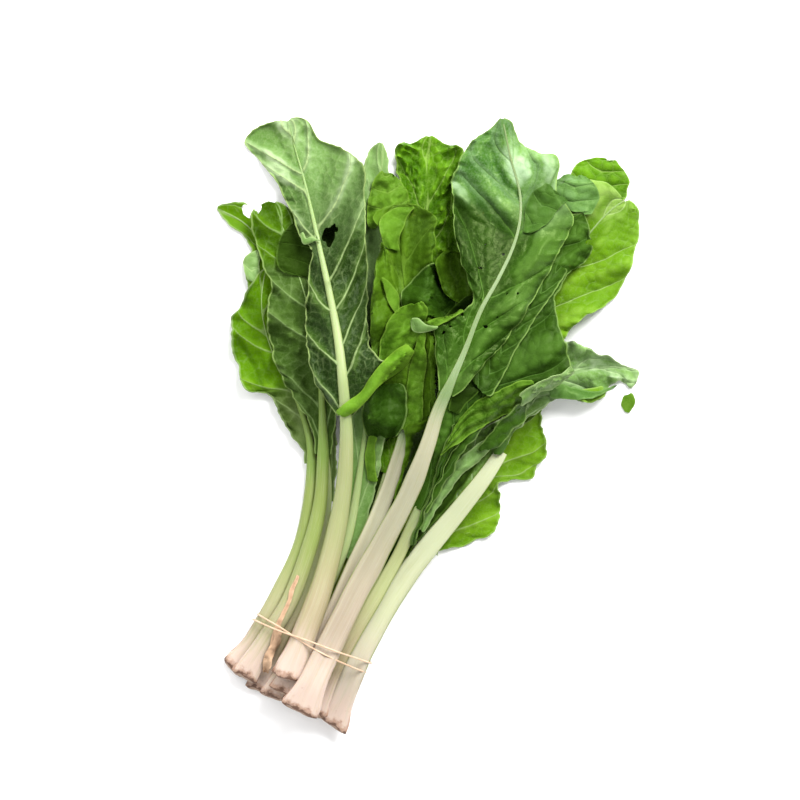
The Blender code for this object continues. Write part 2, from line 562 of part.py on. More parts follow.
def band_path(sides):
    """The middle line of a rubber band that goes twice round the stalks and crosses itself once."""
    across, along = from_band(sides[:, :2])
    near = np.abs(along) < BAND_SPREAD + BAND_DIAMETER
    hull = hull_of(np.column_stack([across[near], sides[near, 2]]))
    middle = hull.mean(axis=0)
    turn = math.radians(BAND_CROSSES) + np.linspace(0, 4 * math.pi, 2 * BAND_POINTS, endpoint=False)
    half_turn = (turn - turn[0]) / 2 + math.pi / 2
    radius = BAND_DIAMETER / 2
    step_out = (BAND_DIAMETER + BAND_CLEARANCE) / 2 * (1 + np.sin(half_turn))
    off = BAND_CLEARANCE + radius + step_out
    facing = np.column_stack([np.cos(turn), np.sin(turn)])
    edges = np.roll(hull, -1, axis=0) - hull
    outwards = np.column_stack([edges[:, 1], -edges[:, 0]]) / np.linalg.norm(edges, axis=1)[:, None]
    reach = np.sum((hull - middle) * outwards, axis=1)
    toward = facing @ outwards.T
    to_edges = (reach[None] + off[:, None]) / np.maximum(toward, 1e-6)
    away = np.where(toward > 1e-6, to_edges, np.inf).min(axis=1)
    ring = middle + facing * away[:, None]
    wander = BAND_SPREAD * np.cos(half_turn)
    lean = math.radians(BAND_TURN)
    x = BAND_AT[0] + ring[:, 0] * math.cos(lean) - wander * math.sin(lean)
    y = BAND_AT[1] + ring[:, 0] * math.sin(lean) + wander * math.cos(lean)
    return np.column_stack([x, y, ring[:, 1]])


def build_band(sides, collection):
    """The rubber band, as a round cord along its path."""
    curve = bpy.data.curves.new("rubber_band", "CURVE")
    curve.dimensions = "3D"
    curve.bevel_depth = BAND_DIAMETER / 2 * MM
    curve.bevel_resolution = 1
    path = band_path(sides)
    line = curve.splines.new("POLY")
    line.points.add(len(path) - 1)
    for point, place in zip(line.points, path):
        point.co = (*((place + (*CENTRING, 0)) * MM), 1)
    line.use_cyclic_u = True
    curve.materials.append(material("rubber", (0.72, 0.45, 0.24), 0.5))
    collection.objects.link(bpy.data.objects.new("rubber_band", curve))


def clear_scene():
    """Removes the startup objects."""
    for thing in list(bpy.data.objects):
        bpy.data.objects.remove(thing)


def main():
    """Lays the leaves from the lowest to the uppermost, and puts the band round them."""
    clear_scene()
    collection = bpy.data.collections.new("chard_bunch")
    bpy.context.scene.collection.children.link(collection)
    pile = Pile()
    sides = [build_leaf(leaf, pile, leaf is LEAVES[0], collection) for leaf in LEAVES]
    build_band(np.vstack(sides), collection)


main()
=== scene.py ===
"""Looks of a bunch of chard: finely modelled leaves, stalks and band over its plain solids.

Metres, +Z up, in the frame of the solids. The working functions are in millimetres. Every leaf is two
pieces, as its solids are: the pale stalk with its rib, and the green blade. The leaves are laid one after
another, and each keeps the height of its solid unless its finer relief needs more room.
"""

import logging
import math
from dataclasses import dataclass
from enum import Enum

import bpy
import numpy as np
from mathutils import Matrix, Vector
from mathutils.bvhtree import BVHTree


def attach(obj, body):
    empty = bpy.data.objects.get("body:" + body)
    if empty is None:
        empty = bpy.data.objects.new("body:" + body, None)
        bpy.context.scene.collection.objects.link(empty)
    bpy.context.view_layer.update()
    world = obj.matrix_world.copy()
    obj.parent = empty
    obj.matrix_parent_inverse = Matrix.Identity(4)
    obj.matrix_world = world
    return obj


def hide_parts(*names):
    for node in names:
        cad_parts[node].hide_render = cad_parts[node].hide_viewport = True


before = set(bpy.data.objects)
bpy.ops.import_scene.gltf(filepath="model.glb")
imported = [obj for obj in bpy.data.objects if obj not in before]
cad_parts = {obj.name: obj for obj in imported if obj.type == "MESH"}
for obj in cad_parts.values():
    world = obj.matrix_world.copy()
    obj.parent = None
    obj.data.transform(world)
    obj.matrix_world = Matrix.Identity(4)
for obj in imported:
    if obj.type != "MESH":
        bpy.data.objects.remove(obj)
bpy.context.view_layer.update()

LOG = logging.getLogger("chard")

Array = np.ndarray
Piece = bpy.types.Object
Material = bpy.types.Material
Socket = bpy.types.NodeSocket
Input = Socket | float | tuple  # what a node's socket takes
Colour = tuple[float, float, float]
Places = tuple[tuple[float, ...], ...]
Pair = tuple[Array, Array]

MM = 0.001
WELD = 1e-6  # metres between points that are one
CENTRING = np.array((-0.8, 0.0))  # brings the middle of the bunch over the origin

# Stalks and ribs, with the same sections as their solids
STALK_SIDES = 36
STALK_STEP = 2.0  # between rings
FOOT_FLARE = 0.45
FOOT_LENGTH = 13.0
FOOT_FLATNESS = 0.15
STALK_DEPTH = 0.62
ROUND_SIDE = 0.58
FLAT_SIDE = 0.34
GROOVE = 0.16
STALK_SHARP = math.radians(50)  # edges sharper than this stay sharp

# Blades
GRAIN = 1.25  # size of a blade's cells
THICKNESS = 0.5
SOLID_ROWS = 20  # rows of the plain blades, which the length of the rib is counted in
SOLID_COLUMNS = 4
TIP_END = 0.993
BASE_SPREAD = 1.5
RIB_COVER = 0.72  # share of the rib's half width where the blade's skin comes out of it
SKIN_SHARP = math.radians(65)
VEIN_PITCH = (3.0, 60.0)  # least and greatest distance between side veins
SMALL_VEIN = 1.6  # width of the furrow along a small vein
STEEPEST = 4.0  # the most that a steep place adds to the room its skin takes

# How the leaves rest on each other
GAP = 0.15
CELL = 1.0
REACH = 240
ABOVE_ALL = 300.0  # where rays down and up through a solid start
BELOW_ALL = -50.0
BESIDE = 20.0  # height from which the nearest point of a solid is sought

# Random values
TABLE = 64  # values along each side of a table, after which they repeat
OFFSET = 1000.0  # cells by which places are moved, so that their numbers are positive


class Face(Enum):
    """Which face of a leaf looks up."""

    UPPER = 1
    LOWER = -1


class Rib(Enum):
    """Whether a leaf's rib shows on its blade, or the blade lies over it."""

    SHOWN = 1
    COVERED = 0


def smoothstep(value: Array, low: float, high: float) -> Array:
    """The value's smooth rise from 0 at low to 1 at high."""
    t = np.clip((value - low) / (high - low), 0, 1)
    return t * t * (3 - 2 * t)


def blur(values: Array, sigma: float, axis: int) -> Array:
    """Values smoothed along one axis of a grid, with slopes carried on past the ends.

    Args:
        values: the grid.
        sigma: reach of the smoothing, in cells.
        axis: the axis to smooth along.

    Returns:
        The smoothed grid, of the same shape.
    """
    reach = min(max(1, int(3 * sigma)), values.shape[axis] - 1)
    kernel = np.exp(-0.5 * (np.arange(-reach, reach + 1) / max(sigma, 1e-3)) ** 2)
    kernel /= kernel.sum()
    room = [(reach, reach) if k == axis else (0, 0) for k in range(values.ndim)]
    padded = np.pad(values, room, mode="reflect", reflect_type="odd")
    return np.apply_along_axis(lambda line: np.convolve(line, kernel, mode="valid"), axis, padded)


def value_noise(xy: Array, size: float, seed: int) -> Array:
    """Smooth random values from -1 to 1 over a plane.

    Args:
        xy: places, in millimetres.
        size: how far apart the random values stand.
        seed: start of the random draw.

    Returns:
        One value for each place.
    """
    table = np.random.default_rng(seed).uniform(-1, 1, (TABLE, TABLE))
    spot = xy / size + OFFSET
    corner = np.floor(spot).astype(int)
    f = spot - corner
    f = f * f * (3 - 2 * f)
    i, j = corner[..., 0] % TABLE, corner[..., 1] % TABLE
    next_i, next_j = (i + 1) % TABLE, (j + 1) % TABLE
    near = table[i, j] * (1 - f[..., 0]) + table[next_i, j] * f[..., 0]
    far = table[i, next_j] * (1 - f[..., 0]) + table[next_i, next_j] * f[..., 0]
    return near * (1 - f[..., 1]) + far * f[..., 1]


def cell_walls(xy: Array, size: float, seed: int) -> Array:
    """How far each place is from the walls between irregular cells of a plane.

    Args:
        xy: places, in millimetres.
        size: width of a cell.
        seed: start of the random draw.

    Returns:
        Distances, in millimetres.
    """
    shifts = np.random.default_rng(seed).uniform(0.1, 0.9, (TABLE, TABLE, 2))
    spot = xy / size + OFFSET
    corner = np.floor(spot).astype(int)
    away = []
    for i in (-1, 0, 1):
        for j in (-1, 0, 1):
            cell = corner + (i, j)
            seeds = cell + shifts[cell[..., 0] % TABLE, cell[..., 1] % TABLE]
            away.append(np.linalg.norm(spot - seeds, axis=-1))
    away = np.sort(np.stack(away), axis=0)
    return (away[1] - away[0]) * size / 2


def fine_line(points: Places, step: float = 2.0) -> Array:
    """A smooth curve through points of the plan.

    Args:
        points: places it goes through, in millimetres.
        step: distance between the places it is given by.

    Returns:
        Evenly spaced places along it.
    """
    given = np.array(points, float)
    knots = np.vstack([2 * given[0] - given[1], given, 2 * given[-1] - given[-2]])
    t = np.linspace(0, 1, 24, endpoint=False)[:, None]
    spans = [0.5 * (2 * b + (c - a) * t + (2 * a - 5 * b + 4 * c - d) * t**2 + (3 * b - a - 3 * c + d) * t**3)
             for a, b, c, d in zip(knots, knots[1:], knots[2:], knots[3:])]
    fine = np.vstack([*spans, given[-1:]])
    along = np.concatenate([[0], np.cumsum(np.linalg.norm(np.diff(fine, axis=0), axis=1))])
    even = np.linspace(0, along[-1], max(3, int(along[-1] / step) + 1))
    return np.column_stack([np.interp(even, along, fine[:, k]) for k in range(given.shape[1])])


def beside_line(xy: Array, points: Places) -> Pair:
    """Where places lie from a line of the plan.

    Args:
        xy: the places, in millimetres.
        points: what the line goes through.

    Returns:
        How far each place is to the right of the line, negative to its left, and its share of the
        line's length.
    """
    line = fine_line(points)
    nearest = np.full(xy.shape[:-1], 1e9)
    right = np.zeros(xy.shape[:-1])
    share = np.zeros(xy.shape[:-1])
    for k, (a, b) in enumerate(zip(line, line[1:])):
        run = b - a
        t = np.clip((xy - a) @ run / (run @ run), 0, 1)
        off = xy - a - t[..., None] * run
        away = np.linalg.norm(off, axis=-1)
        side = np.sign(off[..., 0] * run[1] - off[..., 1] * run[0])
        closer = away < nearest
        nearest = np.where(closer, away, nearest)
        right = np.where(closer, away * side, right)
        share = np.where(closer, (k + t) / (len(line) - 1), share)
    return right, share


def outward(line: Array, side: int) -> Array:
    """Directions square to a margin and away from its blade.

    Args:
        line: places along the margin, from base to tip.
        side: -1 for the left margin, 1 for the right one.

    Returns:
        A direction for each place.
    """
    ahead = np.gradient(line, axis=0)
    out = side * np.column_stack([ahead[:, 1], -ahead[:, 0]])
    return out / np.maximum(np.linalg.norm(out, axis=1), 1e-6)[:, None]


def vein_pitch(slope: Array) -> Array:
    """Distance between side veins, from how steeply their numbers rise over the plan."""
    return np.clip(1 / np.maximum(slope, 1e-4), *VEIN_PITCH)


def from_vein(phase: Array) -> Array:
    """Share of the pitch that each place is away from the nearest side vein."""
    return np.abs((phase + 0.5) % 1.0 - 0.5)


def small_fields(walls: Array) -> Array:
    """Height of the fields between small veins, from the distance to their walls."""
    return 0.5 - np.exp(-((walls / SMALL_VEIN) ** 2))


class Tree:
    """Adds and joins the nodes of one material."""

    def __init__(self, name: str) -> None:
        """Starts an empty material that holds one output.

        Args:
            name: the material's name.
        """
        self.material = bpy.data.materials.new(name)
        self.material.use_nodes = True
        self.tree = self.material.node_tree
        self.tree.nodes.clear()
        self.output = self.add("ShaderNodeOutputMaterial")

    def add(self, kind: str, inputs: dict | None = None, **settings: str | bool) -> bpy.types.Node:
        """A new node.

        Args:
            kind: the node's type name.
            inputs: sockets by name or number, each with a value or a socket to join.
            settings: the node's own properties.

        Returns:
            The node.
        """
        node = self.tree.nodes.new(kind)
        for key, value in settings.items():
            setattr(node, key, value)
        for key, value in (inputs or {}).items():
            if isinstance(value, Socket):
                self.tree.links.new(value, node.inputs[key])
            else:
                node.inputs[key].default_value = value
        return node

    def math(self, operation: str, a: Input, b: Input = 0.0) -> Socket:
        """Two values joined by one operation."""
        return self.add("ShaderNodeMath", {0: a, 1: b}, operation=operation).outputs[0]

    def times(self, a: Input, b: Input) -> Socket:
        """The product of two values."""
        return self.math("MULTIPLY", a, b)

    def plus(self, a: Input, b: Input) -> Socket:
        """The sum of two values."""
        return self.math("ADD", a, b)

    def minus(self, a: Input, b: Input) -> Socket:
        """One value less another."""
        return self.math("SUBTRACT", a, b)

    def rise(self, value: Input, low: float, high: float, start: float = 0.0,
             end: float = 1.0) -> Socket:
        """The value mapped smoothly from low..high to start..end."""
        sockets = {"Value": value, "From Min": low, "From Max": high, "To Min": start, "To Max": end}
        return self.add("ShaderNodeMapRange", sockets, interpolation_type="SMOOTHSTEP").outputs[0]

    def mix(self, share: Input, a: Input, b: Input) -> Socket:
        """One colour changed into another.

        Args:
            share: how much of the second colour shows.
            a: the first colour.
            b: the second colour.

        Returns:
            The mixed colour.
        """
        node = self.add("ShaderNodeMix", data_type="RGBA", clamp_factor=True)
        for key, value in ((0, share), (6, a), (7, b)):
            if isinstance(value, Socket):
                self.tree.links.new(value, node.inputs[key])
            else:
                node.inputs[key].default_value = (*value, 1) if isinstance(value, tuple) else value
        return node.outputs[2]

    def attribute(self, name: str) -> Socket:
        """A value that the piece's mesh carries."""
        return self.add("ShaderNodeAttribute", attribute_name=name).outputs["Fac"]

    def noise(self, vector: Input, scale: float, detail: float = 3.0,
              rough: float = 0.5) -> Socket:
        """Cloudy values from 0 to 1."""
        sockets = {"Vector": vector, "Scale": scale, "Detail": detail, "Roughness": rough}
        return self.add("ShaderNodeTexNoise", sockets).outputs["Fac"]

    def place(self) -> Socket:
        """Places on the piece, in metres."""
        return self.add("ShaderNodeTexCoord").outputs["Object"]

    def bump(self, height: Input, strength: float, distance: float) -> Socket:
        """A normal tilted by a height. The distance is in metres."""
        sockets = {"Height": height, "Strength": strength, "Distance": distance}
        return self.add("ShaderNodeBump", sockets).outputs[0]

    def finish(self, shader: bpy.types.Node) -> Material:
        """Joins the last shader to the output, and returns the material."""
        self.tree.links.new(shader.outputs[0], self.output.inputs["Surface"])
        return self.material


@dataclass(frozen=True)
class BladeFinish:
    """Skin of a leaf's green blade."""

    slot: str
    body: Colour
    # Darker colour: random cloudy tone, and painted shade in the hollows of the relief.
    deep: Colour
    # Paler colour: painted highlight on the bulges of the relief; it also lightens the fine grain, the skin
    # beside the side veins and the light that shines through.
    light: Colour
    vein: Colour
    # Colour along the margin: a painted highlight on its edge.
    edge: Colour
    gloss: float = 0.46  # roughness
    wax: float = 0.02  # weight of the clear coat
    glow: float = 0.05  # share of the light that shines through
    net: float = 0.5  # how clearly the small veins show
    lateral: float = 0.6  # how clearly the side veins show
    tip_tone_and_painted_light: tuple[Colour, ...] = ()  # body, deep and light colour further along the blade: partly a change of tone, partly painted light that makes the tips lighter
    tip_tone_and_painted_light_from: tuple[float, float] = (0.4, 0.6)  # shares of the blade between which it changes into them
    shine: float = 0.25  # how much the bare skin mirrors
    tint: Colour = (0.7, 1.0, 0.3)  # colour of that

    def material(self, name: str, face: Face) -> Material:
        """The skin as a material.

        Args:
            name: the material's name.
            face: which face of the leaf looks up, for the way the veins stand.

        Returns:
            The material.
        """
        t = Tree(name)
        place = t.place()
        uv = t.add("ShaderNodeUVMap", uv_map="veins").outputs[0]
        split = t.add("ShaderNodeSeparateXYZ", {0: uv})
        phase, out = split.outputs[0], split.outputs[1]
        pitch = t.attribute("pitch")
        wander = t.times(t.minus(t.noise(place, 90.0, 2.0), 0.5), 0.09)
        turn = t.math("FRACT", t.plus(t.plus(phase, wander), 0.5))
        across = t.times(t.math("ABSOLUTE", t.minus(turn, 0.5)), pitch)
        slim = t.plus(across, t.times(out, 0.45))
        lateral = t.rise(slim, 0.30, 0.95, 1.0, 0.0)
        halo = t.rise(across, 0.4, 4.0, 1.0, 0.0)
        patchy = t.rise(t.noise(place, 55.0, 3.0), 0.38, 0.62)
        net = t.times(t.rise(t.attribute("net"), 0.05, 0.6, 1.0, 0.0), patchy)
        shift = t.add("ShaderNodeTexNoise", {"Vector": place, "Scale": 160.0}).outputs["Color"]
        bent = t.mix(0.006, place, shift)
        fine = t.add("ShaderNodeTexVoronoi", {"Vector": bent, "Scale": 330.0}, feature="DISTANCE_TO_EDGE")
        fine_net = t.rise(fine.outputs["Distance"], 0.0, 0.09, 1.0, 0.0)
        cloud = t.noise(place, 22.0, 4.0, 0.55)
        grain = t.noise(place, 700.0, 2.0, 0.6)
        body, deep, light = self.body, self.deep, self.light
        # Towards the tip the colours turn lighter: partly the leaf's own tone, partly painted light on the tips
        # and painted shade towards the base.
        if self.tip_tone_and_painted_light:
            reach = t.plus(t.attribute("along"), t.times(t.minus(cloud, 0.5), 0.16))
            change = t.rise(reach, *self.tip_tone_and_painted_light_from)
            body, deep, light = (t.mix(change, a, b) for a, b in zip((body, deep, light), self.tip_tone_and_painted_light))
        colour = t.mix(t.rise(cloud, 0.30, 0.72), deep, body)
        # Darker in the hollows and paler on the bulges of the relief: painted shade and painted highlight.
        colour = t.mix(t.rise(t.attribute("crown"), 0.50, 0.0, 0.0, 0.60), colour, deep)
        colour = t.mix(t.rise(t.attribute("crown"), 0.50, 1.0, 0.0, 0.50), colour, light)
        colour = t.mix(t.times(t.rise(grain, 0.35, 0.75), 0.12), colour, light)
        colour = t.mix(t.times(fine_net, 0.14 * self.net), colour, self.vein)
        colour = t.mix(t.times(net, 0.32 * self.net), colour, self.vein)
        colour = t.mix(t.times(halo, 0.25 * self.lateral), colour, light)
        colour = t.mix(t.times(lateral, self.lateral), colour, self.vein)
        # A paler line along the margin: a painted highlight on the edge of the blade.
        rim = t.rise(t.attribute("edge"), 0.25, 1.25, 1.0, 0.0)
        colour = t.mix(t.times(rim, 0.65), colour, self.edge)
        blemish = t.rise(t.noise(place, 60.0, 5.0, 0.7), 0.70, 0.78)
        colour = t.mix(t.times(blemish, 0.4), colour, (0.16, 0.14, 0.03))
        sign = float(-face.value)
        height = t.times(lateral, 0.55 * sign)
        height = t.plus(height, t.times(net, 0.30 * sign))
        height = t.plus(height, t.times(fine_net, 0.13 * sign))
        height = t.plus(height, t.times(grain, 0.10))
        normal = t.bump(height, 0.8, 0.0006)
        rough = t.rise(t.noise(place, 120.0, 4.0), 0.25, 0.75, self.gloss - 0.06, self.gloss + 0.10)
        skin = t.add("ShaderNodeBsdfPrincipled", {"Base Color": colour, "Roughness": rough, "Normal": normal})
        skin.inputs["Specular IOR Level"].default_value = self.shine
        skin.inputs["Specular Tint"].default_value = (*self.tint, 1)
        skin.inputs["Coat Weight"].default_value = self.wax
        skin.inputs["Coat Roughness"].default_value = 0.32
        skin.inputs["IOR"].default_value = 1.45
        if not self.glow:
            return t.finish(skin)
        through = t.add("ShaderNodeBsdfTranslucent", {"Color": t.mix(0.5, colour, light), "Normal": normal})
        return t.finish(t.add("ShaderNodeMixShader", {0: self.glow, 1: skin.outputs[0], 2: through.outputs[0]}))


@dataclass(frozen=True)
class StalkFinish:
    """Skin of a stalk and rib, from its cut foot to the tip of the rib."""

    foot: Colour = (0.54, 0.42, 0.35)
    low: Colour = (0.29, 0.24, 0.135)
    high: Colour = (0.30, 0.33, 0.14)
    rib: Colour = (0.28, 0.35, 0.14)
    rib_end: Colour = (0.17, 0.28, 0.07)
    rim: Colour = (0.17, 0.25, 0.02)
    stain: Colour = (0.30, 0.17, 0.11)
    brown: Colour = (0.085, 0.040, 0.022)
    pith: Colour = (0.42, 0.33, 0.25)

    def material(self, name: str) -> Material:
        """The skin as a material.

        Args:
            name: the material's name.

        Returns:
            The material.
        """
        t = Tree(name)
        place = t.place()
        uv = t.add("ShaderNodeUVMap", uv_map="round_and_along").outputs[0]
        split = t.add("ShaderNodeSeparateXYZ", {0: uv})
        around, along = split.outputs[0], split.outputs[1]
        blade = t.attribute("beside_blade")
        stretched = t.add("ShaderNodeMapping", {"Vector": uv, "Scale": (80.0, 5.0, 1.0)}).outputs[0]
        fibre = t.noise(stretched, 1.0, 5.0, 0.65)
        broad = t.add("ShaderNodeMapping", {"Vector": uv, "Scale": (14.0, 2.0, 1.0)}).outputs[0]
        streak = t.noise(broad, 1.0, 3.0, 0.6)
        cloud = t.noise(place, 22.0, 3.0)
        level = t.plus(along, t.times(t.minus(streak, 0.5), 0.22))
        colour = t.mix(t.rise(level, 0.03, 0.26), self.foot, self.low)
        colour = t.mix(t.rise(level, 0.25, 0.68), colour, self.high)
        colour = t.mix(t.rise(blade, 0.0, 0.35), colour, self.rib)
        colour = t.mix(t.rise(along, 1.15, 2.0), colour, self.rib_end)
        colour = t.mix(t.times(t.rise(streak, 0.50, 0.75), 0.40), colour, self.high)
        # Paler lines on the ridges of the fibre bump and darker green in its grooves: painted highlight and
        # painted shade on the real fibres.
        colour = t.mix(t.times(t.rise(fibre, 0.48, 0.70), 0.22), colour, (0.50, 0.48, 0.38))
        colour = t.mix(t.times(t.rise(fibre, 0.45, 0.28), 0.22), colour, self.rim)
        side = t.math("ABSOLUTE", t.math("COSINE", t.times(around, 2 * math.pi)))
        rim = t.times(t.rise(side, 0.88, 0.995), t.rise(level, 0.10, 0.45))
        colour = t.mix(t.times(rim, t.rise(cloud, 0.3, 0.7, 0.25, 0.85)), colour, self.rim)
        rust = t.times(t.rise(side, 0.90, 1.0), t.rise(level, 0.42, 0.12))
        rust = t.times(rust, t.rise(t.noise(place, 45.0, 4.0), 0.42, 0.62))
        colour = t.mix(t.times(rust, 0.75), colour, self.stain)
        cut = t.attribute("cut")
        colour = t.mix(t.rise(cut, 1.0, 1.6), colour, self.pith)
        speck = t.minus(t.noise(place, 210.0, 5.0, 0.65), 0.5)
        patch = t.plus(cut, t.times(speck, 1.5))
        stain = t.times(t.rise(patch, 0.20, 0.62), t.rise(cut, 1.2, 1.8, 0.75, 0.3))
        colour = t.mix(stain, colour, self.stain)
        patch = t.plus(cut, t.times(speck, 2.4))
        edge_of_cut = t.times(t.rise(patch, 0.60, 1.0), t.rise(cut, 1.15, 1.6, 0.9, 0.25))
        colour = t.mix(edge_of_cut, colour, self.brown)
        height = t.plus(t.times(fibre, 1.0), t.times(streak, 0.6))
        normal = t.bump(height, 0.35, 0.0005)
        rough = t.rise(streak, 0.2, 0.8, 0.36, 0.50)
        skin = t.add("ShaderNodeBsdfPrincipled", {"Base Color": colour, "Roughness": rough, "Normal": normal})
        skin.inputs["Specular IOR Level"].default_value = 0.35
        skin.inputs["Subsurface Weight"].default_value = 0.20
        skin.inputs["Subsurface Radius"].default_value = (0.004, 0.003, 0.0015)
        skin.inputs["Subsurface Scale"].default_value = 1.0
        return t.finish(skin)


@dataclass(frozen=True)
class BandFinish:
    """Natural rubber, stretched thin."""

    pale: Colour = (0.64, 0.46, 0.32)
    dark: Colour = (0.55, 0.36, 0.23)

    def material(self, name: str) -> Material:
        """The rubber as a material.

        Args:
            name: the material's name.

        Returns:
            The material.
        """
        t = Tree(name)
        place = t.place()
        colour = t.mix(t.rise(t.noise(place, 190.0), 0.3, 0.7), self.dark, self.pale)
        normal = t.bump(t.noise(place, 900.0), 0.3, 0.0002)
        skin = t.add("ShaderNodeBsdfPrincipled", {"Base Color": colour, "Normal": normal})
        skin.inputs["Roughness"].default_value = 0.42
        return t.finish(skin)


@dataclass(frozen=True)
class FloorFinish:
    """A plain pale table top."""

    colour: Colour = (0.97, 0.97, 0.97)

    def material(self, name: str) -> Material:
        """The table top as a material.

        Args:
            name: the material's name.

        Returns:
            The material.
        """
        t = Tree(name)
        shade = t.mix(t.noise(t.place(), 3.0), self.colour, (0.95, 0.95, 0.95))
        skin = t.add("ShaderNodeBsdfPrincipled", {"Base Color": shade})
        skin.inputs["Roughness"].default_value = 0.7
        return t.finish(skin)


class Solid:
    """The plain solid of a piece, asked how high it stands."""

    def __init__(self, node: str) -> None:
        """Takes a solid from the frame, in millimetres before centring.

        Args:
            node: the solid's name.
        """
        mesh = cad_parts[node].data
        places = np.empty(len(mesh.vertices) * 3)
        mesh.vertices.foreach_get("co", places)
        places = places.reshape(-1, 3) / MM
        places[:, :2] -= CENTRING
        mesh.calc_loop_triangles()
        faces = [tuple(triangle.vertices) for triangle in mesh.loop_triangles]
        self.tree = BVHTree.FromPolygons([tuple(p) for p in places], faces)

    def heights(self, xy: Array) -> Pair:
        """The solid's lowest and highest points over places of the plan.

        Args:
            xy: places, in millimetres.

        Returns:
            The lowest and the highest point at each place, and beside the solid those of the nearest place.
        """
        low = np.empty(len(xy))
        high = np.empty(len(xy))
        up, down = Vector((0, 0, 1)), Vector((0, 0, -1))
        for k, (x, y) in enumerate(xy):
            top = self.tree.ray_cast(Vector((x, y, ABOVE_ALL)), down)[0]
            if top is None:
                near = self.tree.find_nearest(Vector((x, y, BESIDE)))[0]
                low[k] = high[k] = near.z
                continue
            foot = self.tree.ray_cast(Vector((x, y, BELOW_ALL)), up)[0]
            low[k], high[k] = foot.z, top.z
        return low, high


class Route:
    """A leaf's line from its cut end to its tip, seen from above."""

    def __init__(self, points: Places) -> None:
        """Draws a smooth curve through the points.

        Args:
            points: places of the plan, from the cut end to the tip.
        """
        self.points = fine_line(points, 1.0)
        self.length = np.linalg.norm(np.diff(self.points, axis=0), axis=1).sum()
        ahead = np.gradient(self.points, axis=0)
        self.ahead = ahead / np.linalg.norm(ahead, axis=1)[:, None]
        self.share = np.linspace(0, 1, len(self.points))

    def at(self, s: Array) -> tuple[Array, Array, Array]:
        """Where the route is, and which way it runs.

        Args:
            s: shares of the route.

        Returns:
            The centre, the direction ahead and the direction to the right at each share.
        """
        centre = np.column_stack([np.interp(s, self.share, self.points[:, k]) for k in (0, 1)])
        ahead = np.column_stack([np.interp(s, self.share, self.ahead[:, k]) for k in (0, 1)])
        return centre, ahead, np.column_stack([ahead[:, 1], -ahead[:, 0]])


class Pile:
    """How high the leaves laid so far reach, on a grid of square cells seen from above."""

    def __init__(self) -> None:
        """Starts with the bare surface."""
        cells = int(2 * REACH / CELL)
        self.top = np.full((cells, cells), -GAP)
        self.spread = self.top

    def cell(self, xy: Array) -> Pair:
        """The grid cell of each place."""
        index = np.floor((xy + REACH) / CELL).astype(int)
        return index[..., 0], index[..., 1]

    def under(self, xy: Array) -> Array:
        """The highest thing in or beside the cell of each place."""
        return self.spread[self.cell(xy)]

    def add(self, xy: Array, z: Array) -> None:
        """Takes in the upper side of a piece that has been laid.

        Args:
            xy: places of the piece.
            z: its height at each of them.
        """
        np.maximum.at(self.top, self.cell(xy), z)
        padded = np.pad(self.top, 1)
        rows, columns = self.top.shape
        shifts = [padded[i:i + rows, j:j + columns] for i in range(3) for j in range(3)]
        self.spread = np.max(shifts, axis=0)


@dataclass(frozen=True)
class Relief:
    """How a blade's skin stands out between its veins. Lengths are in millimetres."""

    laterals: int = 7  # side veins on each side of the rib
    lean: tuple[float, float] = (0.16, 0.16)  # how far left and right ones run ahead, as shares of the blade
    ridge: float = 0.7  # how far they stand out of the lower face, or lie in the upper one
    ridge_width: float = 1.1
    bulge: float = 2.2  # height of the skin between side veins
    pucker: float = 0.6  # height of the skin between small veins
    cell: float = 8.0  # width of the fields between small veins
    channel: float = 1.8  # how deep the rib lies in the skin beside it
    frill: float = 1.6  # height of the small waves along the margin
    frill_length: float = 13.0
    frill_reach: float = 5.5  # how far in they go
    crumple: float = 0.8  # height of irregular folds
    crumple_size: float = 22.0
    stretch: float = 1.6  # how much longer those folds are along the leaf than across it
    sharp: float = 0.0  # share of those folds that are sharp ridges
    scallop: float = 0.9  # how far the margin's outline swings in and out
    pleats: float = 0.0  # number of folds side by side that run along a flap
    pleat: float = 0.0  # their height


@dataclass(frozen=True)
class Crease:
    """A fold in a blade along a line, seen from above. Lengths are in millimetres."""

    points: Places
    rise: float = 0.0  # height of a ridge along the line, or depth of a furrow if negative
    step: float = 0.0  # how much higher the skin stands to the right of the line
    width: float = 2.5
    reach: float = 16.0  # how far from the line a step fades out

    def height(self, plan: Array) -> Array:
        """How much the crease lifts places.

        Args:
            plan: the places.

        Returns:
            A height for each place.
        """
        right, share = beside_line(plan, self.points)
        ends = smoothstep(np.minimum(share, 1 - share), -0.01, 0.12)
        ridge = self.rise * np.exp(-((right / self.width) ** 2))
        step = 0.5 * self.step * np.tanh(1.6 * right / self.width) * np.exp(-((right / self.reach) ** 2))
        return ends * (ridge + step)


@dataclass(frozen=True)
class Hole:
    """A place eaten out of a blade. Millimetres and degrees, seen from above."""

    x: float
    y: float
    long: float
    wide: float
    turn: float = 0.0


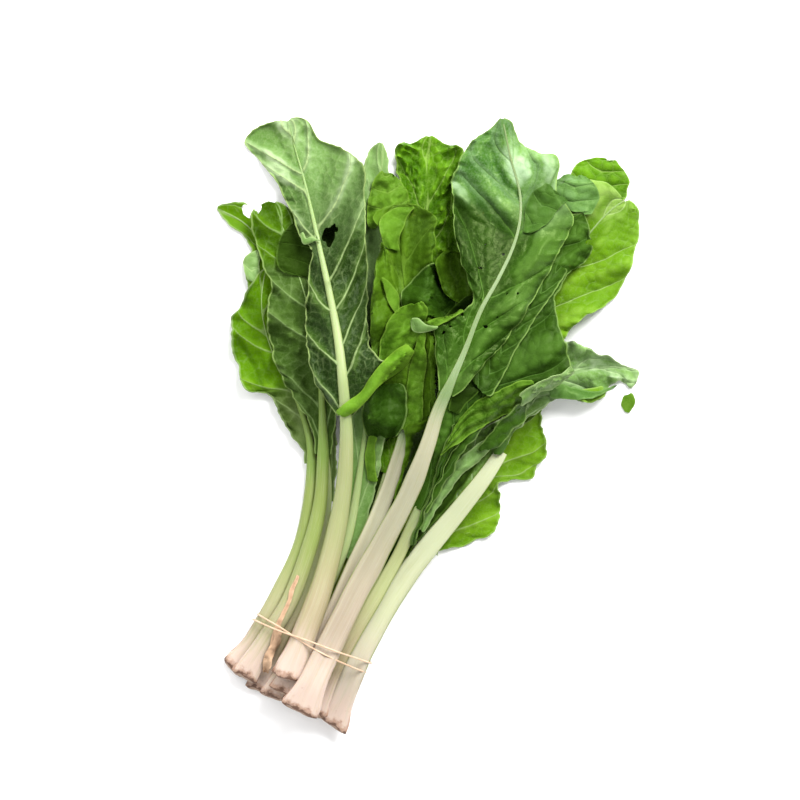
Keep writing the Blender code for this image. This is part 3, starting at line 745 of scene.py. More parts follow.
@dataclass(frozen=True)
class Leaf:
    """One leaf of the bunch. Lengths are in millimetres, and places are seen from above."""

    name: str
    width: float  # of the stalk above its foot
    neck: float  # width of the stalk where the blade begins
    blade_from: float  # share of the route where the blade begins
    skin: BladeFinish
    relief: Relief
    seed: int
    rib_tip: float  # width of the rib's end
    rib_power: float  # how fast it narrows, evenly at 1
    rib_to: float  # share of the route where it ends
    route: Places  # where stalk and rib run, from the cut end to the tip
    left: Places  # margin from base to tip: how far along the blade each place's row starts, and the place
    right: Places
    veins: Places = ((), ())  # shares of the blade where the left and the right side veins leave the rib
    face: Face = Face.UPPER
    rib: Rib = Rib.SHOWN
    taper: float = 1.3  # how late the stalk narrows to its neck, evenly at 1
    creases: tuple[Crease, ...] = ()
    holes: tuple[Hole, ...] = ()
    stalk: StalkFinish = StalkFinish()
    tip_lean: float = 0.0  # how much further back the lighter tip colours, partly painted light, reach on the left than in the middle
    rib_start: float = 0.0  # width of the rib just past its flared neck, or 0 where it narrows at one rate

    def stalk_size(self, length: float, s: Array) -> Pair:
        """Size of the stalk or rib.

        Args:
            length: of the whole route.
            s: shares of the route.

        Returns:
            The width and the depth at each share.
        """
        below = self.width + (self.neck - self.width) * np.clip(s / self.blade_from, 0, 1)**self.taper
        left_over = np.clip((self.rib_to - s) / (self.rib_to - self.blade_from), 0, 1)
        start = self.rib_start or self.rib_tip
        above = (self.rib_tip + (start - self.rib_tip) * left_over
                 + (self.neck - start) * left_over**self.rib_power)
        width = np.where(s < self.blade_from, below, above)
        foot = np.exp(-((s * length / FOOT_LENGTH) ** 2))
        return width * (1 + FOOT_FLARE * foot), width * STALK_DEPTH * (1 - FOOT_FLATNESS * foot)

    def stalk_section(self, s: Array, across: Array) -> Pair:
        """Heights above and below the section's widest line, as shares of the depth.

        Args:
            s: shares of the route.
            across: places from -1 to 1 across the section.

        Returns:
            The heights of the upper and of the lower side.
        """
        bulge = np.sqrt(np.clip(1 - across**2, 0, 1))
        on_rib = np.clip((s - self.blade_from) / 0.1 + 0.5, 0, 1)
        flat = FLAT_SIDE * (1 - 0.5 * on_rib) * bulge**0.7
        flat = flat - GROOVE * (1 - on_rib) * np.exp(-((across / 0.45) ** 2))
        sides = (flat, ROUND_SIDE * bulge)
        return sides if self.face is Face.UPPER else sides[::-1]

    def margin(self, route: Route, side: int, along: Array) -> Array:
        """Places on the left or right margin.

        Args:
            route: the leaf's line.
            side: -1 for the left margin, 1 for the right one.
            along: shares of the blade's length, evenly spaced.

        Returns:
            A place for each share.
        """
        base, _, right = route.at(np.array([self.blade_from]))
        start = base[0] + right[0] * side * (self.neck / 2 + BASE_SPREAD)
        knots = np.array([(0, *start), *(self.left if side < 0 else self.right), (1, *self.route[-1])])
        line = np.column_stack([np.interp(along, knots[:, 0], knots[:, k]) for k in (1, 2)])
        line = blur(line, 2.2, 0)
        arc = np.concatenate([[0], np.cumsum(np.linalg.norm(np.diff(line, axis=0), axis=1))])
        spot = np.column_stack([arc, np.full(len(arc), 40.0 * side)])
        swing = value_noise(spot, 6.5, self.seed) + 0.55 * value_noise(spot, 2.6, self.seed + 1)
        room = smoothstep(np.minimum(along, 1 - along), 0.0, 0.06)
        return line + outward(line, side) * (self.relief.scallop * swing * room)[:, None]


@dataclass(frozen=True)
class Sheet:
    """A blade's grid seen from above, with a row for each step along it and columns from margin to margin."""

    shares: Array  # how far along the blade each row is
    plan: Array
    t: Array  # how far out each column is, from 0 at the middle to 1 at the margin
    side: Array  # -1 in the left columns and 1 in the right ones
    margins: Pair  # places on the left and on the right margin
    row_reach: Array  # each row's length from the middle to the margin
    from_rib: Array  # how far each place is from the rib

    @property
    def rows(self) -> int:
        """Number of rows of cells."""
        return self.plan.shape[0] - 1

    @property
    def half(self) -> int:
        """Number of cells from the middle to a margin."""
        return (self.plan.shape[1] - 1) // 2

    def slope_of(self, values: Array) -> Array:
        """How steeply values on the grid change over the plan.

        Args:
            values: one for each place of the grid.

        Returns:
            The change per millimetre at each place.
        """
        d_row, d_col = np.gradient(values)
        p_row, p_col = np.gradient(self.plan, axis=(0, 1))
        area = p_row[..., 0] * p_col[..., 1] - p_row[..., 1] * p_col[..., 0]
        area = np.where(np.abs(area) < 0.02, np.where(area < 0, -0.02, 0.02), area)
        gx = (d_row * p_col[..., 1] - d_col * p_row[..., 1]) / area
        gy = (d_col * p_row[..., 0] - d_row * p_col[..., 0]) / area
        return np.hypot(gx, gy)

    def half_wall(self, height: Array) -> Array:
        """How far the skin's thickness reaches up from its middle, which is more where it is steep."""
        return THICKNESS / 2 * np.minimum(np.sqrt(1 + self.slope_of(height) ** 2), STEEPEST)

    def frill(self, relief: Relief, seed: int) -> Array:
        """Heights of the small waves that grow towards the margin.

        Args:
            relief: the blade's relief.
            seed: start of the random draw.

        Returns:
            Heights, in millimetres.
        """
        waves = []
        for k, margin in zip((-1, 1), self.margins):
            steps = np.linalg.norm(np.diff(margin, axis=0), axis=1)
            arc = np.concatenate([[0], np.cumsum(steps)]) / relief.frill_length
            spot = np.column_stack([arc * 0.7, np.full(len(arc), 9.0 * k)])
            strength = 0.55 + 0.75 * value_noise(spot, 1.6, seed + 7)
            drift = 0.9 * value_noise(spot, 2.3, seed + 8)
            swing = np.sin(2 * math.pi * arc + k + drift) + 0.4 * np.sin(14.5 * arc + 3 * drift)
            waves.append(strength * swing)
        wave = np.where(self.side < 0, waves[0][:, None], waves[1][:, None])
        depth = (1 - self.t) * self.row_reach
        return relief.frill * wave * np.exp(-depth / relief.frill_reach) * smoothstep(self.row_reach, 4.0, 14.0)


@dataclass(frozen=True)
class Skin:
    """A blade's relief and what its material reads from its mesh, a value for each vertex."""

    height: Array
    phase: Array  # whole numbers stand on side veins
    pitch: Array  # distance between side veins
    walls: Array  # distance from small veins
    # crown sets where the blade's material paints shade in the hollows and a highlight on the bulges.
    crown: Array  # 0 in hollows and 1 on bulges


class Mesher:
    """Makes sheets and tubes from grids of vertices."""

    @staticmethod
    def grid(name: str, columns: int, rows: int) -> Piece:
        """A flat grid, alone in the selection.

        Args:
            name: the piece's name.
            columns: cells across.
            rows: cells along.

        Returns:
            The piece.
        """
        bpy.ops.object.select_all(action="DESELECT")
        bpy.ops.mesh.primitive_grid_add(x_subdivisions=columns, y_subdivisions=rows, size=2)
        piece = bpy.context.object
        piece.name = piece.data.name = name
        for layer in list(piece.data.uv_layers):
            piece.data.uv_layers.remove(layer)
        return piece

    @staticmethod
    def place_vertices(piece: Piece, points: Array) -> None:
        """Moves the grid's vertices, row by row, to places in metres."""
        piece.data.vertices.foreach_set("co", points.reshape(-1).astype(np.float32))
        piece.data.update()

    @staticmethod
    def carry(piece: Piece, name: str, values: Array) -> None:
        """Stores a value for each vertex, which the skin's material reads."""
        layer = piece.data.attributes.new(name, "FLOAT", "POINT")
        layer.data.foreach_set("value", np.ascontiguousarray(values).reshape(-1).astype(np.float32))

    @staticmethod
    def chart(piece: Piece, name: str, u: Array, v: Array) -> None:
        """Stores a UV map.

        Args:
            piece: the piece that gets it.
            name: the map's name.
            u: the first value of each vertex.
            v: the second one.
        """
        layer = piece.data.uv_layers.new(name=name)
        corners = np.empty(len(piece.data.loops), dtype=np.int64)
        piece.data.loops.foreach_get("vertex_index", corners)
        both = np.stack([np.ascontiguousarray(u).reshape(-1), np.ascontiguousarray(v).reshape(-1)], axis=1)
        layer.data.foreach_set("uv", both[corners].reshape(-1).astype(np.float32))

    @staticmethod
    def eat(piece: Piece, hole: Hole) -> None:
        """Removes the skin inside a hole, after its nearest vertices are drawn to the hole's edge.

        Args:
            piece: the skin, before it has its thickness.
            hole: what is eaten.
        """
        mesh = piece.data
        places = np.empty(len(mesh.vertices) * 3)
        mesh.vertices.foreach_get("co", places)
        places = places.reshape(-1, 3)
        away = places[:, :2] / MM - CENTRING - (hole.x, hole.y)
        turn = math.radians(hole.turn)
        axes = np.array([[math.cos(turn), math.sin(turn)], [-math.sin(turn), math.cos(turn)]])
        local = away @ axes.T / (hole.long / 2, hole.wide / 2)
        bend = np.arctan2(local[:, 1], local[:, 0])
        local /= (1 + 0.16 * np.sin(3 * bend + hole.x) + 0.10 * np.sin(5 * bend + hole.y))[:, None]
        q = np.linalg.norm(local, axis=1)
        snap = np.abs(q - 1) < 0.55 * GRAIN / (min(hole.long, hole.wide) / 2)
        snap &= q > 0.3
        shift = away * (1 / np.maximum(q, 0.05) - 1)[:, None]
        places[snap, :2] += shift[snap] * MM
        q[snap] = 1.0
        mesh.vertices.foreach_set("co", places.reshape(-1))
        inside = q < 1.001
        bpy.ops.object.mode_set(mode="EDIT")
        bpy.ops.mesh.select_mode(type="FACE")
        bpy.ops.mesh.select_all(action="DESELECT")
        bpy.ops.object.mode_set(mode="OBJECT")
        corners = np.empty(len(mesh.loops), dtype=np.int64)
        mesh.loops.foreach_get("vertex_index", corners)
        chosen = inside[corners.reshape(-1, 4)].all(axis=1)
        mesh.polygons.foreach_set("select", chosen)
        bpy.ops.object.mode_set(mode="EDIT")
        bpy.ops.mesh.delete(type="FACE")
        bpy.ops.object.mode_set(mode="OBJECT")

    @staticmethod
    def thicken(piece: Piece) -> None:
        """Gives a skin its thickness and smooth shading.

        Args:
            piece: the skin.
        """
        bpy.ops.object.mode_set(mode="EDIT")
        bpy.ops.mesh.select_all(action="SELECT")
        bpy.ops.mesh.delete_loose()
        bpy.ops.object.mode_set(mode="OBJECT")
        solid = piece.modifiers.new("Thickness", "SOLIDIFY")
        solid.thickness = THICKNESS * MM
        solid.offset = 0
        bpy.ops.object.modifier_apply(modifier=solid.name)
        bpy.ops.object.shade_smooth_by_angle(angle=SKIN_SHARP)

    @staticmethod
    def close_ends(piece: Piece) -> None:
        """Joins a rolled grid along its seam and closes both ends.

        Args:
            piece: the tube.
        """
        bpy.ops.object.mode_set(mode="EDIT")
        bpy.ops.mesh.select_all(action="SELECT")
        bpy.ops.mesh.remove_doubles(threshold=WELD)
        bpy.ops.mesh.select_all(action="DESELECT")
        bpy.ops.mesh.select_mode(type="EDGE")
        bpy.ops.mesh.select_non_manifold(extend=False)
        bpy.ops.mesh.fill_holes(sides=0)
        bpy.ops.mesh.select_mode(type="FACE")
        bpy.ops.mesh.select_all(action="SELECT")
        bpy.ops.mesh.normals_make_consistent(inside=False)
        bpy.ops.object.mode_set(mode="OBJECT")
        bpy.ops.object.shade_smooth_by_angle(angle=STALK_SHARP)

    @staticmethod
    def dress(piece: Piece, skin: Material, slot: str, node: str = "") -> None:
        """Gives a piece its material, puts it under the root body and hides the solid that it stands for.

        Args:
            piece: the piece.
            skin: its material.
            slot: not used.
            node: the solid that it stands for, if any.
        """
        piece.data.materials.clear()
        piece.data.materials.append(skin)
        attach(piece, "root")
        if node:
            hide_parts(node)
        LOG.info("%s: %d faces", piece.name, len(piece.data.polygons))

    @classmethod
    def leaf_skin(cls, piece: Piece, sheet: Sheet, skin: Skin, height: Array,
                  tip_lean: float = 0.0) -> None:
        """Gives a flat grid a blade's shape, and stores what its material reads.

        Args:
            piece: the grid.
            sheet: the blade seen from above.
            skin: its relief.
            height: of each place.
            tip_lean: how much further back the lighter tip colours, partly painted light, reach on the left.
        """
        points = np.concatenate([sheet.plan + CENTRING, height[..., None]], axis=2) * MM
        cls.place_vertices(piece, points)
        grid = sheet.plan.shape[:2]
        carried = {
            "pitch": skin.pitch,
            "net": skin.walls,
            "crown": skin.crown,
            "edge": (1 - sheet.t) * sheet.row_reach,
            "along": sheet.shares[:, None] - tip_lean * sheet.side * sheet.t,
        }
        for name, values in carried.items():
            cls.carry(piece, name, np.broadcast_to(values, grid))
        cls.chart(piece, "veins", skin.phase, np.broadcast_to(sheet.t, grid))


def envelope(short: Array, rows: float, columns: float) -> Array:
    """A smooth lift that is nowhere less than what is short.

    Args:
        short: how much higher each place of a grid has to stand.
        rows: reach of the smoothing along the first axis, in cells.
        columns: the same along the second axis.

    Returns:
        The lift.
    """
    lift = np.clip(short, 0, None)
    for _ in range(6):
        lift = blur(lift, rows, 0)
        if columns:
            lift = blur(lift, columns, 1)
        lift = np.maximum(lift, short)
    return np.clip(lift, 0, None)


class LeafMaker:
    """Lays one leaf on the pile and makes its two pieces."""

    def __init__(self, leaf: Leaf, pile: Pile) -> None:
        """Reads the leaf's solids and works out its line.

        Args:
            leaf: the leaf.
            pile: what it is laid on.
        """
        self.leaf = leaf
        self.pile = pile
        self.route = Route(leaf.route)
        self.blade_solid = Solid(leaf.name + "_blade")
        self.stalk_solid = Solid(leaf.name + "_stalk")
        self.rings = int(self.route.length * leaf.rib_to / STALK_STEP)
        self.s = leaf.rib_to * np.linspace(0, 1, self.rings)
        self.level = self.rib_level()

    def rib_level(self) -> Array:
        """Height of the stalk's widest line at each ring, with room for what is under it."""
        leaf = self.leaf
        centre, _, right = self.route.at(self.s)
        width, depth = leaf.stalk_size(self.route.length, self.s)
        above, _ = leaf.stalk_section(self.s, np.zeros(len(self.s)))
        inner = np.clip(np.arange(self.rings), 1, self.rings - 3)
        _, high = self.stalk_solid.heights(centre[inner])
        level = blur((high - (above * depth)[inner])[:, None], 3.0, 0)[:, 0]
        across = np.linspace(-0.9, 0.9, 9)
        places = centre[:, None] + right[:, None] * (across[None, :, None] * width[:, None, None] / 2)
        _, hang = leaf.stalk_section(self.s[:, None], across[None])
        need = (self.pile.under(places) + hang * depth[:, None]).max(axis=1) + GAP
        need[width < 3] = -1e3
        lift = envelope((need - level)[:, None], 10.0, 0.0)
        return level + blur(lift, 6.0, 0)[:, 0]

    def sheet(self) -> Sheet:
        """The blade's grid, seen from above."""
        leaf, route = self.leaf, self.route
        rows = int(route.length * (1 - leaf.blade_from) / GRAIN)
        shares = np.linspace(0, TIP_END, rows + 1)
        margins = [leaf.margin(route, side, shares) for side in (-1, 1)]
        s = leaf.blade_from + shares * (1 - leaf.blade_from)
        centre, _, right = route.at(s)
        half = int(max(np.linalg.norm(margin - centre, axis=1).max() for margin in margins) / GRAIN)
        out = np.linspace(-1, 1, 2 * half + 1)[None]
        t, side = np.abs(out), np.sign(out)
        cover = np.zeros(rows + 1)
        if leaf.rib is Rib.SHOWN:
            width, _ = leaf.stalk_size(route.length, s)
            cover = width / 2 * RIB_COVER * smoothstep(leaf.rib_to - s, -0.01, 0.01)
        outer = np.where((out < 0)[..., None], margins[0][:, None], margins[1][:, None])
        inner = centre[:, None] + right[:, None] * (side * cover[:, None])[..., None]
        first = 1 / half
        beyond = np.clip((t - first) / (1 - first), 0, 1)
        plan = centre[:, None] + (inner - centre[:, None]) * np.clip(t / first, 0, 1)[..., None]
        plan = plan + (outer - inner) * beyond[..., None]
        row_reach = np.linalg.norm(outer - inner, axis=2)
        return Sheet(shares, plan, t, side, tuple(margins), row_reach, row_reach * beyond)

    def side_veins(self, side: int) -> Array:
        """Where the side veins of one side leave the rib.

        Args:
            side: -1 for the left side, 1 for the right one.

        Returns:
            Shares of the blade.
        """
        given = self.leaf.veins[0 if side < 0 else 1]
        if given:
            return np.array(given)
        count = self.leaf.relief.laterals
        jitter = np.random.default_rng(self.leaf.seed + 40 + side).uniform(-0.28, 0.28, count)
        return (np.arange(count) + 0.3 + jitter + (0.35 if side > 0 else 0.0)) / count

    def skin(self, sheet: Sheet) -> Skin:
        """The blade's relief.

        Args:
            sheet: the blade seen from above.

        Returns:
            Its heights, and what its material reads.
        """
        leaf, relief = self.leaf, self.leaf.relief
        t, side, plan, from_rib, row_reach = sheet.t, sheet.side, sheet.plan, sheet.from_rib, sheet.row_reach
        along = np.broadcast_to(sheet.shares[:, None], plan.shape[:2])
        start = along + 0.012 * value_noise(plan, 24.0, leaf.seed + 5)
        phases = []
        for k, lean in zip((-1, 1), relief.lean):
            knots = self.side_veins(k)
            knots = np.concatenate([[-0.3], knots, [1.15 + lean]])
            phases.append(np.interp(start - lean * t**1.3, knots, np.arange(len(knots))))
        phase = np.where(side < 0, phases[0], phases[1])
        pitch = vein_pitch(blur(blur(sheet.slope_of(phase), 1.5, 0), 1.5, 1))
        between = from_vein(phase)
        shifted = plan + 3.0 * value_noise(plan, 16.0, leaf.seed + 9)[..., None]
        walls = cell_walls(shifted, relief.cell, leaf.seed)
        body = smoothstep(row_reach, 3.0, 16.0) * smoothstep(1 - t, 0.0, 0.10)
        dome = np.sin(math.pi * between) ** 0.7
        swell = relief.bulge * (dome - 0.55) * smoothstep(pitch, 5.0, 18.0) * smoothstep(from_rib, 1.0, 10.0)
        puckers = relief.pucker * small_fields(walls) * smoothstep(from_rib, 0.5, 6.0)
        trough = relief.channel * (1 - np.exp(-((from_rib / 7.0) ** 2))) * np.exp(-from_rib / 40.0)
        vein = np.exp(-((between * pitch / relief.ridge_width) ** 2)) * (1 - 0.6 * t) * (from_rib > 0)
        ahead = along * self.route.length * (1 - leaf.blade_from) / relief.stretch
        folds = self.folds(np.stack([from_rib * side, ahead], axis=-1))
        height = leaf.face.value * body * (swell + puckers + trough - relief.ridge * vein)
        height = height + relief.crumple * folds * smoothstep(from_rib, 1.0, 12.0)
        height = height + sheet.frill(relief, leaf.seed)
        creased = sum(crease.height(plan) for crease in leaf.creases)
        height = height + creased
        raised = leaf.face.value * (swell + puckers) + 0.6 * relief.crumple * folds + creased
        crown = 0.5 + raised / 3.2
        return Skin(height, phase, pitch, walls, np.clip(crown, 0, 1))

    def folds(self, spot: Array) -> Array:
        """Irregular folds.

        Args:
            spot: places across and along the blade.

        Returns:
            Heights from about -1 to 1.
        """
        relief, seed = self.leaf.relief, self.leaf.seed
        broad = value_noise(spot, relief.crumple_size, seed + 3)
        small = value_noise(spot, relief.crumple_size / 2.4, seed + 4)
        soft = np.sign(broad) * np.abs(broad) ** 0.7 + 0.45 * small
        ridged = 1 - 2.2 * np.sqrt(np.abs(broad)) + 0.6 * (1 - 2.2 * np.sqrt(np.abs(small)))
        return soft + (ridged - soft) * relief.sharp

    def blade(self) -> Piece:
        """The green blade, lying on what is under it."""
        leaf, sheet = self.leaf, self.sheet()
        piece = Mesher.grid(leaf.name + "_skin", 2 * sheet.half, sheet.rows)
        skin = self.skin(sheet)
        s = leaf.blade_from + sheet.shares * (1 - leaf.blade_from)
        low, high = self.blade_solid.heights(sheet.plan.reshape(-1, 2))
        own = ((low + high) / 2).reshape(sheet.plan.shape[:2])
        own = blur(blur(own, sheet.rows / SOLID_ROWS * 0.40, 0), sheet.half / SOLID_COLUMNS * 0.25, 1)
        _, depth = leaf.stalk_size(self.route.length, s)
        if leaf.rib is Rib.SHOWN:
            hidden = -(0.12 * depth + THICKNESS / 2 + 0.15) * smoothstep(leaf.rib_to - s, -0.01, 0.02)
        else:
            above, _ = leaf.stalk_section(s, np.zeros(len(s)))
            hidden = above * depth + THICKNESS / 2 + 0.3
        joint = (np.interp(s, self.s, self.level) + hidden)[:, None]
        near_rib = (1 - smoothstep(sheet.from_rib, 0.0, 9.0)) * smoothstep(leaf.rib_to - s, -0.06, 0.0)[:, None]
        height = own + (joint - own) * near_rib + skin.height
        wall = sheet.half_wall(height)
        lift = envelope(self.pile.under(sheet.plan) + wall + GAP - height, 7.0, 5.0)
        height = height + lift
        if leaf.rib is Rib.SHOWN:
            risen = np.interp(self.s, s, lift[:, sheet.half])
            self.level = self.level + risen * smoothstep(self.s, leaf.blade_from - 0.08, leaf.blade_from)
        self.pile.add(sheet.plan, height + wall)
        Mesher.leaf_skin(piece, sheet, skin, height, leaf.tip_lean)
        for hole in leaf.holes:
            Mesher.eat(piece, hole)
        Mesher.thicken(piece)
        material = leaf.skin.material(leaf.name + "_skin", leaf.face)
        Mesher.dress(piece, material, leaf.skin.slot, leaf.name + "_blade")
        return piece

    def stalk(self) -> Piece:
        """The stalk and rib, from a grid rolled up into a tube."""
        leaf = self.leaf
        random = np.random.default_rng(leaf.seed)
        closing = np.array([(0.12, -1.6), (0.45, -1.5), (0.74, -1.1), (0.90, -0.5)])
        piece = Mesher.grid(leaf.name + "_stem", STALK_SIDES, self.rings + len(closing))
        s, level = self.s, self.level
        centre, ahead, right = self.route.at(s)
        width, depth = leaf.stalk_size(self.route.length, s)
        angle = np.linspace(0, 2 * math.pi, STALK_SIDES + 1)
        angle[-1] = 0.0
        across = np.cos(angle)
        upper, lower = leaf.stalk_section(s[:, None], across[None])
        up = np.where(np.sin(angle) >= 0, upper, -lower)
        mm = (s * self.route.length)[:, None]
        ridges = sum(0.012 * np.sin(k * angle[None] + random.uniform(0, 6) + mm / random.uniform(90, 200))
                     for k in (7, 11, 15))
        spot = np.stack(np.broadcast_arrays(4 * across[None] + 9, mm), axis=-1)
        dents = 0.05 * value_noise(spot, 17.0, leaf.seed)
        foot = np.exp(-(mm / 7.0) ** 2)
        spot = np.stack(np.broadcast_arrays(3 * across[None], 3 * np.sin(angle)[None] + mm / 4), axis=-1)
        knobs = foot * 0.10 * value_noise(spot, 1.3, leaf.seed + 2)
        swell = 1 + ridges + dents + knobs
        offset = across[None] * width[:, None] / 2 * swell
        points = np.empty((len(s), STALK_SIDES + 1, 3))
        points[:, :, :2] = centre[:, None] + right[:, None] * offset[:, :, None]
        points[:, :, 2] = np.maximum(level[:, None] + up * depth[:, None] * swell, 0.02)
        slant = 0.22 * math.sin(7 * random.uniform(0, math.pi))
        ragged = value_noise(np.stack([5 * across, 5 * np.sin(angle)], axis=-1), 2.0, leaf.seed + 6)
        push = slant * across * width[0] / 2 + 1.3 * ragged
        points[:, :, :2] += ahead[0] * (push[None] * np.exp(-((mm / 4.0) ** 2)))[:, :, None]
        points[:, -1] = points[:, 0]
        middle = points[0, :-1].mean(axis=0)
        caps = [middle + (points[0] - middle) * share + np.append(ahead[0], 0) * dish
                for share, dish in closing]
        end = points[-1, :-1].mean(axis=0)
        points = np.concatenate([caps, points, [end + (points[-1] - end) * 0.1]])
        self.pile.add(points[..., :2].reshape(-1, 2), points[..., 2].reshape(-1))
        points[..., :2] += CENTRING
        Mesher.place_vertices(piece, points * MM)
        shares = np.concatenate([np.zeros(len(closing)), s, s[-1:]])[:, None]
        beside = smoothstep(shares, leaf.blade_from - 0.10, leaf.blade_from + 0.15)
        cut = np.concatenate([(2.0, 2.0, 1.8, 1.3), np.exp(-mm[:, 0] / 3.6), (0.0,)])[:, None]
        around = np.linspace(0, 1, STALK_SIDES + 1)[None]
        Mesher.carry(piece, "beside_blade", np.broadcast_to(beside, points.shape[:2]))
        Mesher.carry(piece, "cut", np.broadcast_to(cut, points.shape[:2]))
        Mesher.chart(piece, "round_and_along", *np.broadcast_arrays(around, shares / leaf.blade_from))
        Mesher.close_ends(piece)
        Mesher.dress(piece, leaf.stalk.material(leaf.name + "_stem"), "stalk", leaf.name + "_stalk")
        return piece


@dataclass(frozen=True)
class Flap:
    """A folded part of a blade that lies on the others, between two margins seen from above."""

    name: str
    skin: BladeFinish
    after: str  # the leaf that it lies on
    seed: int
    left: Places  # along its left margin, in millimetres
    right: Places
    lift: float = 1.0  # height of its middle over what it lies on
    roll: float = 0.0  # how far its margins hang below that
    relief: Relief = Relief(laterals=4, bulge=0.8, pucker=0.4, frill=0.7, frill_length=9.0, scallop=0.5)
    veins: bool = False  # whether it shows side veins
    close: float = 3.0  # how many cells it bridges hollows by
    corner: float = 0.16  # how far its corners are rounded, as a share of its width

    def rows(self) -> Array:
        """Shares of the flap's length where its rows lie, about a millimetre apart."""
        steps = [np.diff(fine_line(line), axis=0) for line in (self.left, self.right)]
        lengths = [np.linalg.norm(step, axis=1).sum() for step in steps]
        return np.linspace(0, 1, int(max(lengths)) + 1)

    def margin(self, line: Places, side: int, shares: Array) -> Array:
        """Places on one margin, which swings in and out.

        Args:
            line: what the margin goes through.
            side: -1 for the left margin, 1 for the right one.
            shares: of the flap's length.

        Returns:
            A place for each share.
        """
        curve = fine_line(line, 0.5)
        spot = shares * (len(curve) - 1)
        place = np.column_stack([np.interp(spot, np.arange(len(curve)), curve[:, c]) for c in (0, 1)])
        arc = np.column_stack([shares * len(curve) / 2, np.full(len(shares), 40.0 * side)])
        swing = value_noise(arc, 8.0, self.seed) + 0.4 * value_noise(arc, 3.2, self.seed + 1)
        return place + outward(place, side) * (self.relief.scallop * swing)[:, None]

    def sheet(self) -> Sheet:
        """The flap's grid, seen from above, with its corners rounded and its ends uneven."""
        shares = self.rows()
        rows = len(shares) - 1
        left, right = self.margin(self.left, -1, shares), self.margin(self.right, 1, shares)
        width = np.linalg.norm(right - left, axis=1)
        half = max(4, int(width.max() / 2))
        out = np.linspace(-1, 1, 2 * half + 1)[None]
        t, side = np.abs(out), np.sign(out)
        corner = self.corner * width / rows
        from_end = np.clip(np.minimum(shares, 1 - shares) / np.maximum(corner, 1e-3), 0, 1)
        narrow = 0.72 + 0.28 * np.sqrt(1 - (1 - from_end) ** 2)
        share = (0.5 + 0.5 * out * narrow[:, None])[..., None]
        plan = left[:, None] * (1 - share) + right[:, None] * share
        ahead = np.gradient(plan[:, half], axis=0)
        ahead /= np.maximum(np.linalg.norm(ahead, axis=1), 1e-6)[:, None]
        for end, first in ((0, 0.0), (-1, 1.0)):
            swing = value_noise(plan[end] + 77, 4.5, self.seed + 2)
            swing = swing + 0.5 * value_noise(plan[end], 2.0, self.seed)
            fade = np.exp(-np.abs(shares - first) * rows / 4.0)
            plan = plan + (self.relief.scallop * 1.4 * fade[:, None] * swing[None])[..., None] * ahead[end]
        row_reach = np.broadcast_to(width[:, None] / 2, plan.shape[:2])
        return Sheet(shares, plan, t, side, (left, right), row_reach, row_reach * t)

    def pleats(self, sheet: Sheet) -> Array:
        """The pleats that run along the flap.

        Args:
            sheet: the flap seen from above.

        Returns:
            Their heights.
        """
        out = sheet.side * sheet.t
        run = np.broadcast_to(float(sheet.rows) * sheet.shares[:, None] / 3, sheet.plan.shape[:2])
        bend = value_noise(np.stack([4.0 * out + 0 * run, run], axis=-1), 7.0, self.seed + 11)
        wave = np.sin(math.pi * self.relief.pleats * (out + 0.35 * bend))
        return self.relief.pleat * wave * (1 + 0.5 * bend)

    def folded(self, sheet: Sheet) -> Skin:
        """The flap's relief.

        Args:
            sheet: the flap seen from above.

        Returns:
            Its heights over what it lies on, and what its material reads.
        """
        relief, t, plan = self.relief, sheet.t, sheet.plan
        if self.veins:
            along = np.broadcast_to(sheet.shares[:, None], plan.shape[:2])
            phase = relief.laterals * (along - 0.15 * t) + 0.3 + 0.15 * value_noise(plan, 12.0, self.seed + 5)
        else:
            phase = np.full(plan.shape[:2], 0.5)
        walls = cell_walls(plan, relief.cell, self.seed)
        swell = relief.bulge * (np.sin(math.pi * from_vein(phase)) ** 0.7 - 0.5) * smoothstep(1 - t, 0.0, 0.3)
        puckers = relief.pucker * small_fields(walls)
        crumple = relief.crumple * value_noise(plan, relief.crumple_size / 2, self.seed + 3)
        height = swell + puckers + sheet.frill(relief, self.seed) + crumple
        height = height + self.lift - self.roll * t**2
        height = height + self.pleats(sheet)
        crown = np.clip(0.5 + (swell + puckers) / 3.0, 0, 1)
        return Skin(height, phase, vein_pitch(sheet.slope_of(phase)), walls, crown)

    def build(self, pile: Pile) -> Piece:
        """Lays the flap on the pile.

        Args:
            pile: what it lies on.

        Returns:
            The piece.
        """
        sheet = self.sheet()
        skin = self.folded(sheet)
        across = min(self.close, sheet.half)
        ground = pile.under(sheet.plan)
        height = skin.height + blur(blur(ground, self.close, 0), across, 1)
        wall = sheet.half_wall(height)
        height = height + envelope(ground + wall + GAP - height, self.close, across)
        pile.add(sheet.plan, height + wall)
        piece = Mesher.grid(self.name, 2 * sheet.half, sheet.rows)
        Mesher.leaf_skin(piece, sheet, skin, height)
        Mesher.thicken(piece)
        Mesher.dress(piece, self.skin.material(self.name, Face.UPPER), self.skin.slot)
        return piece


def pleated(pleats: float, pleat: float) -> Relief:
    """Relief of a crumpled fold in the middle of the bunch, with a number of pleats of one height."""
    return Relief(bulge=0.4, pucker=0.9, cell=5.0, crumple=1.9, crumple_size=11.0, frill=0.9, scallop=0.9,
                  pleats=pleats, pleat=pleat)


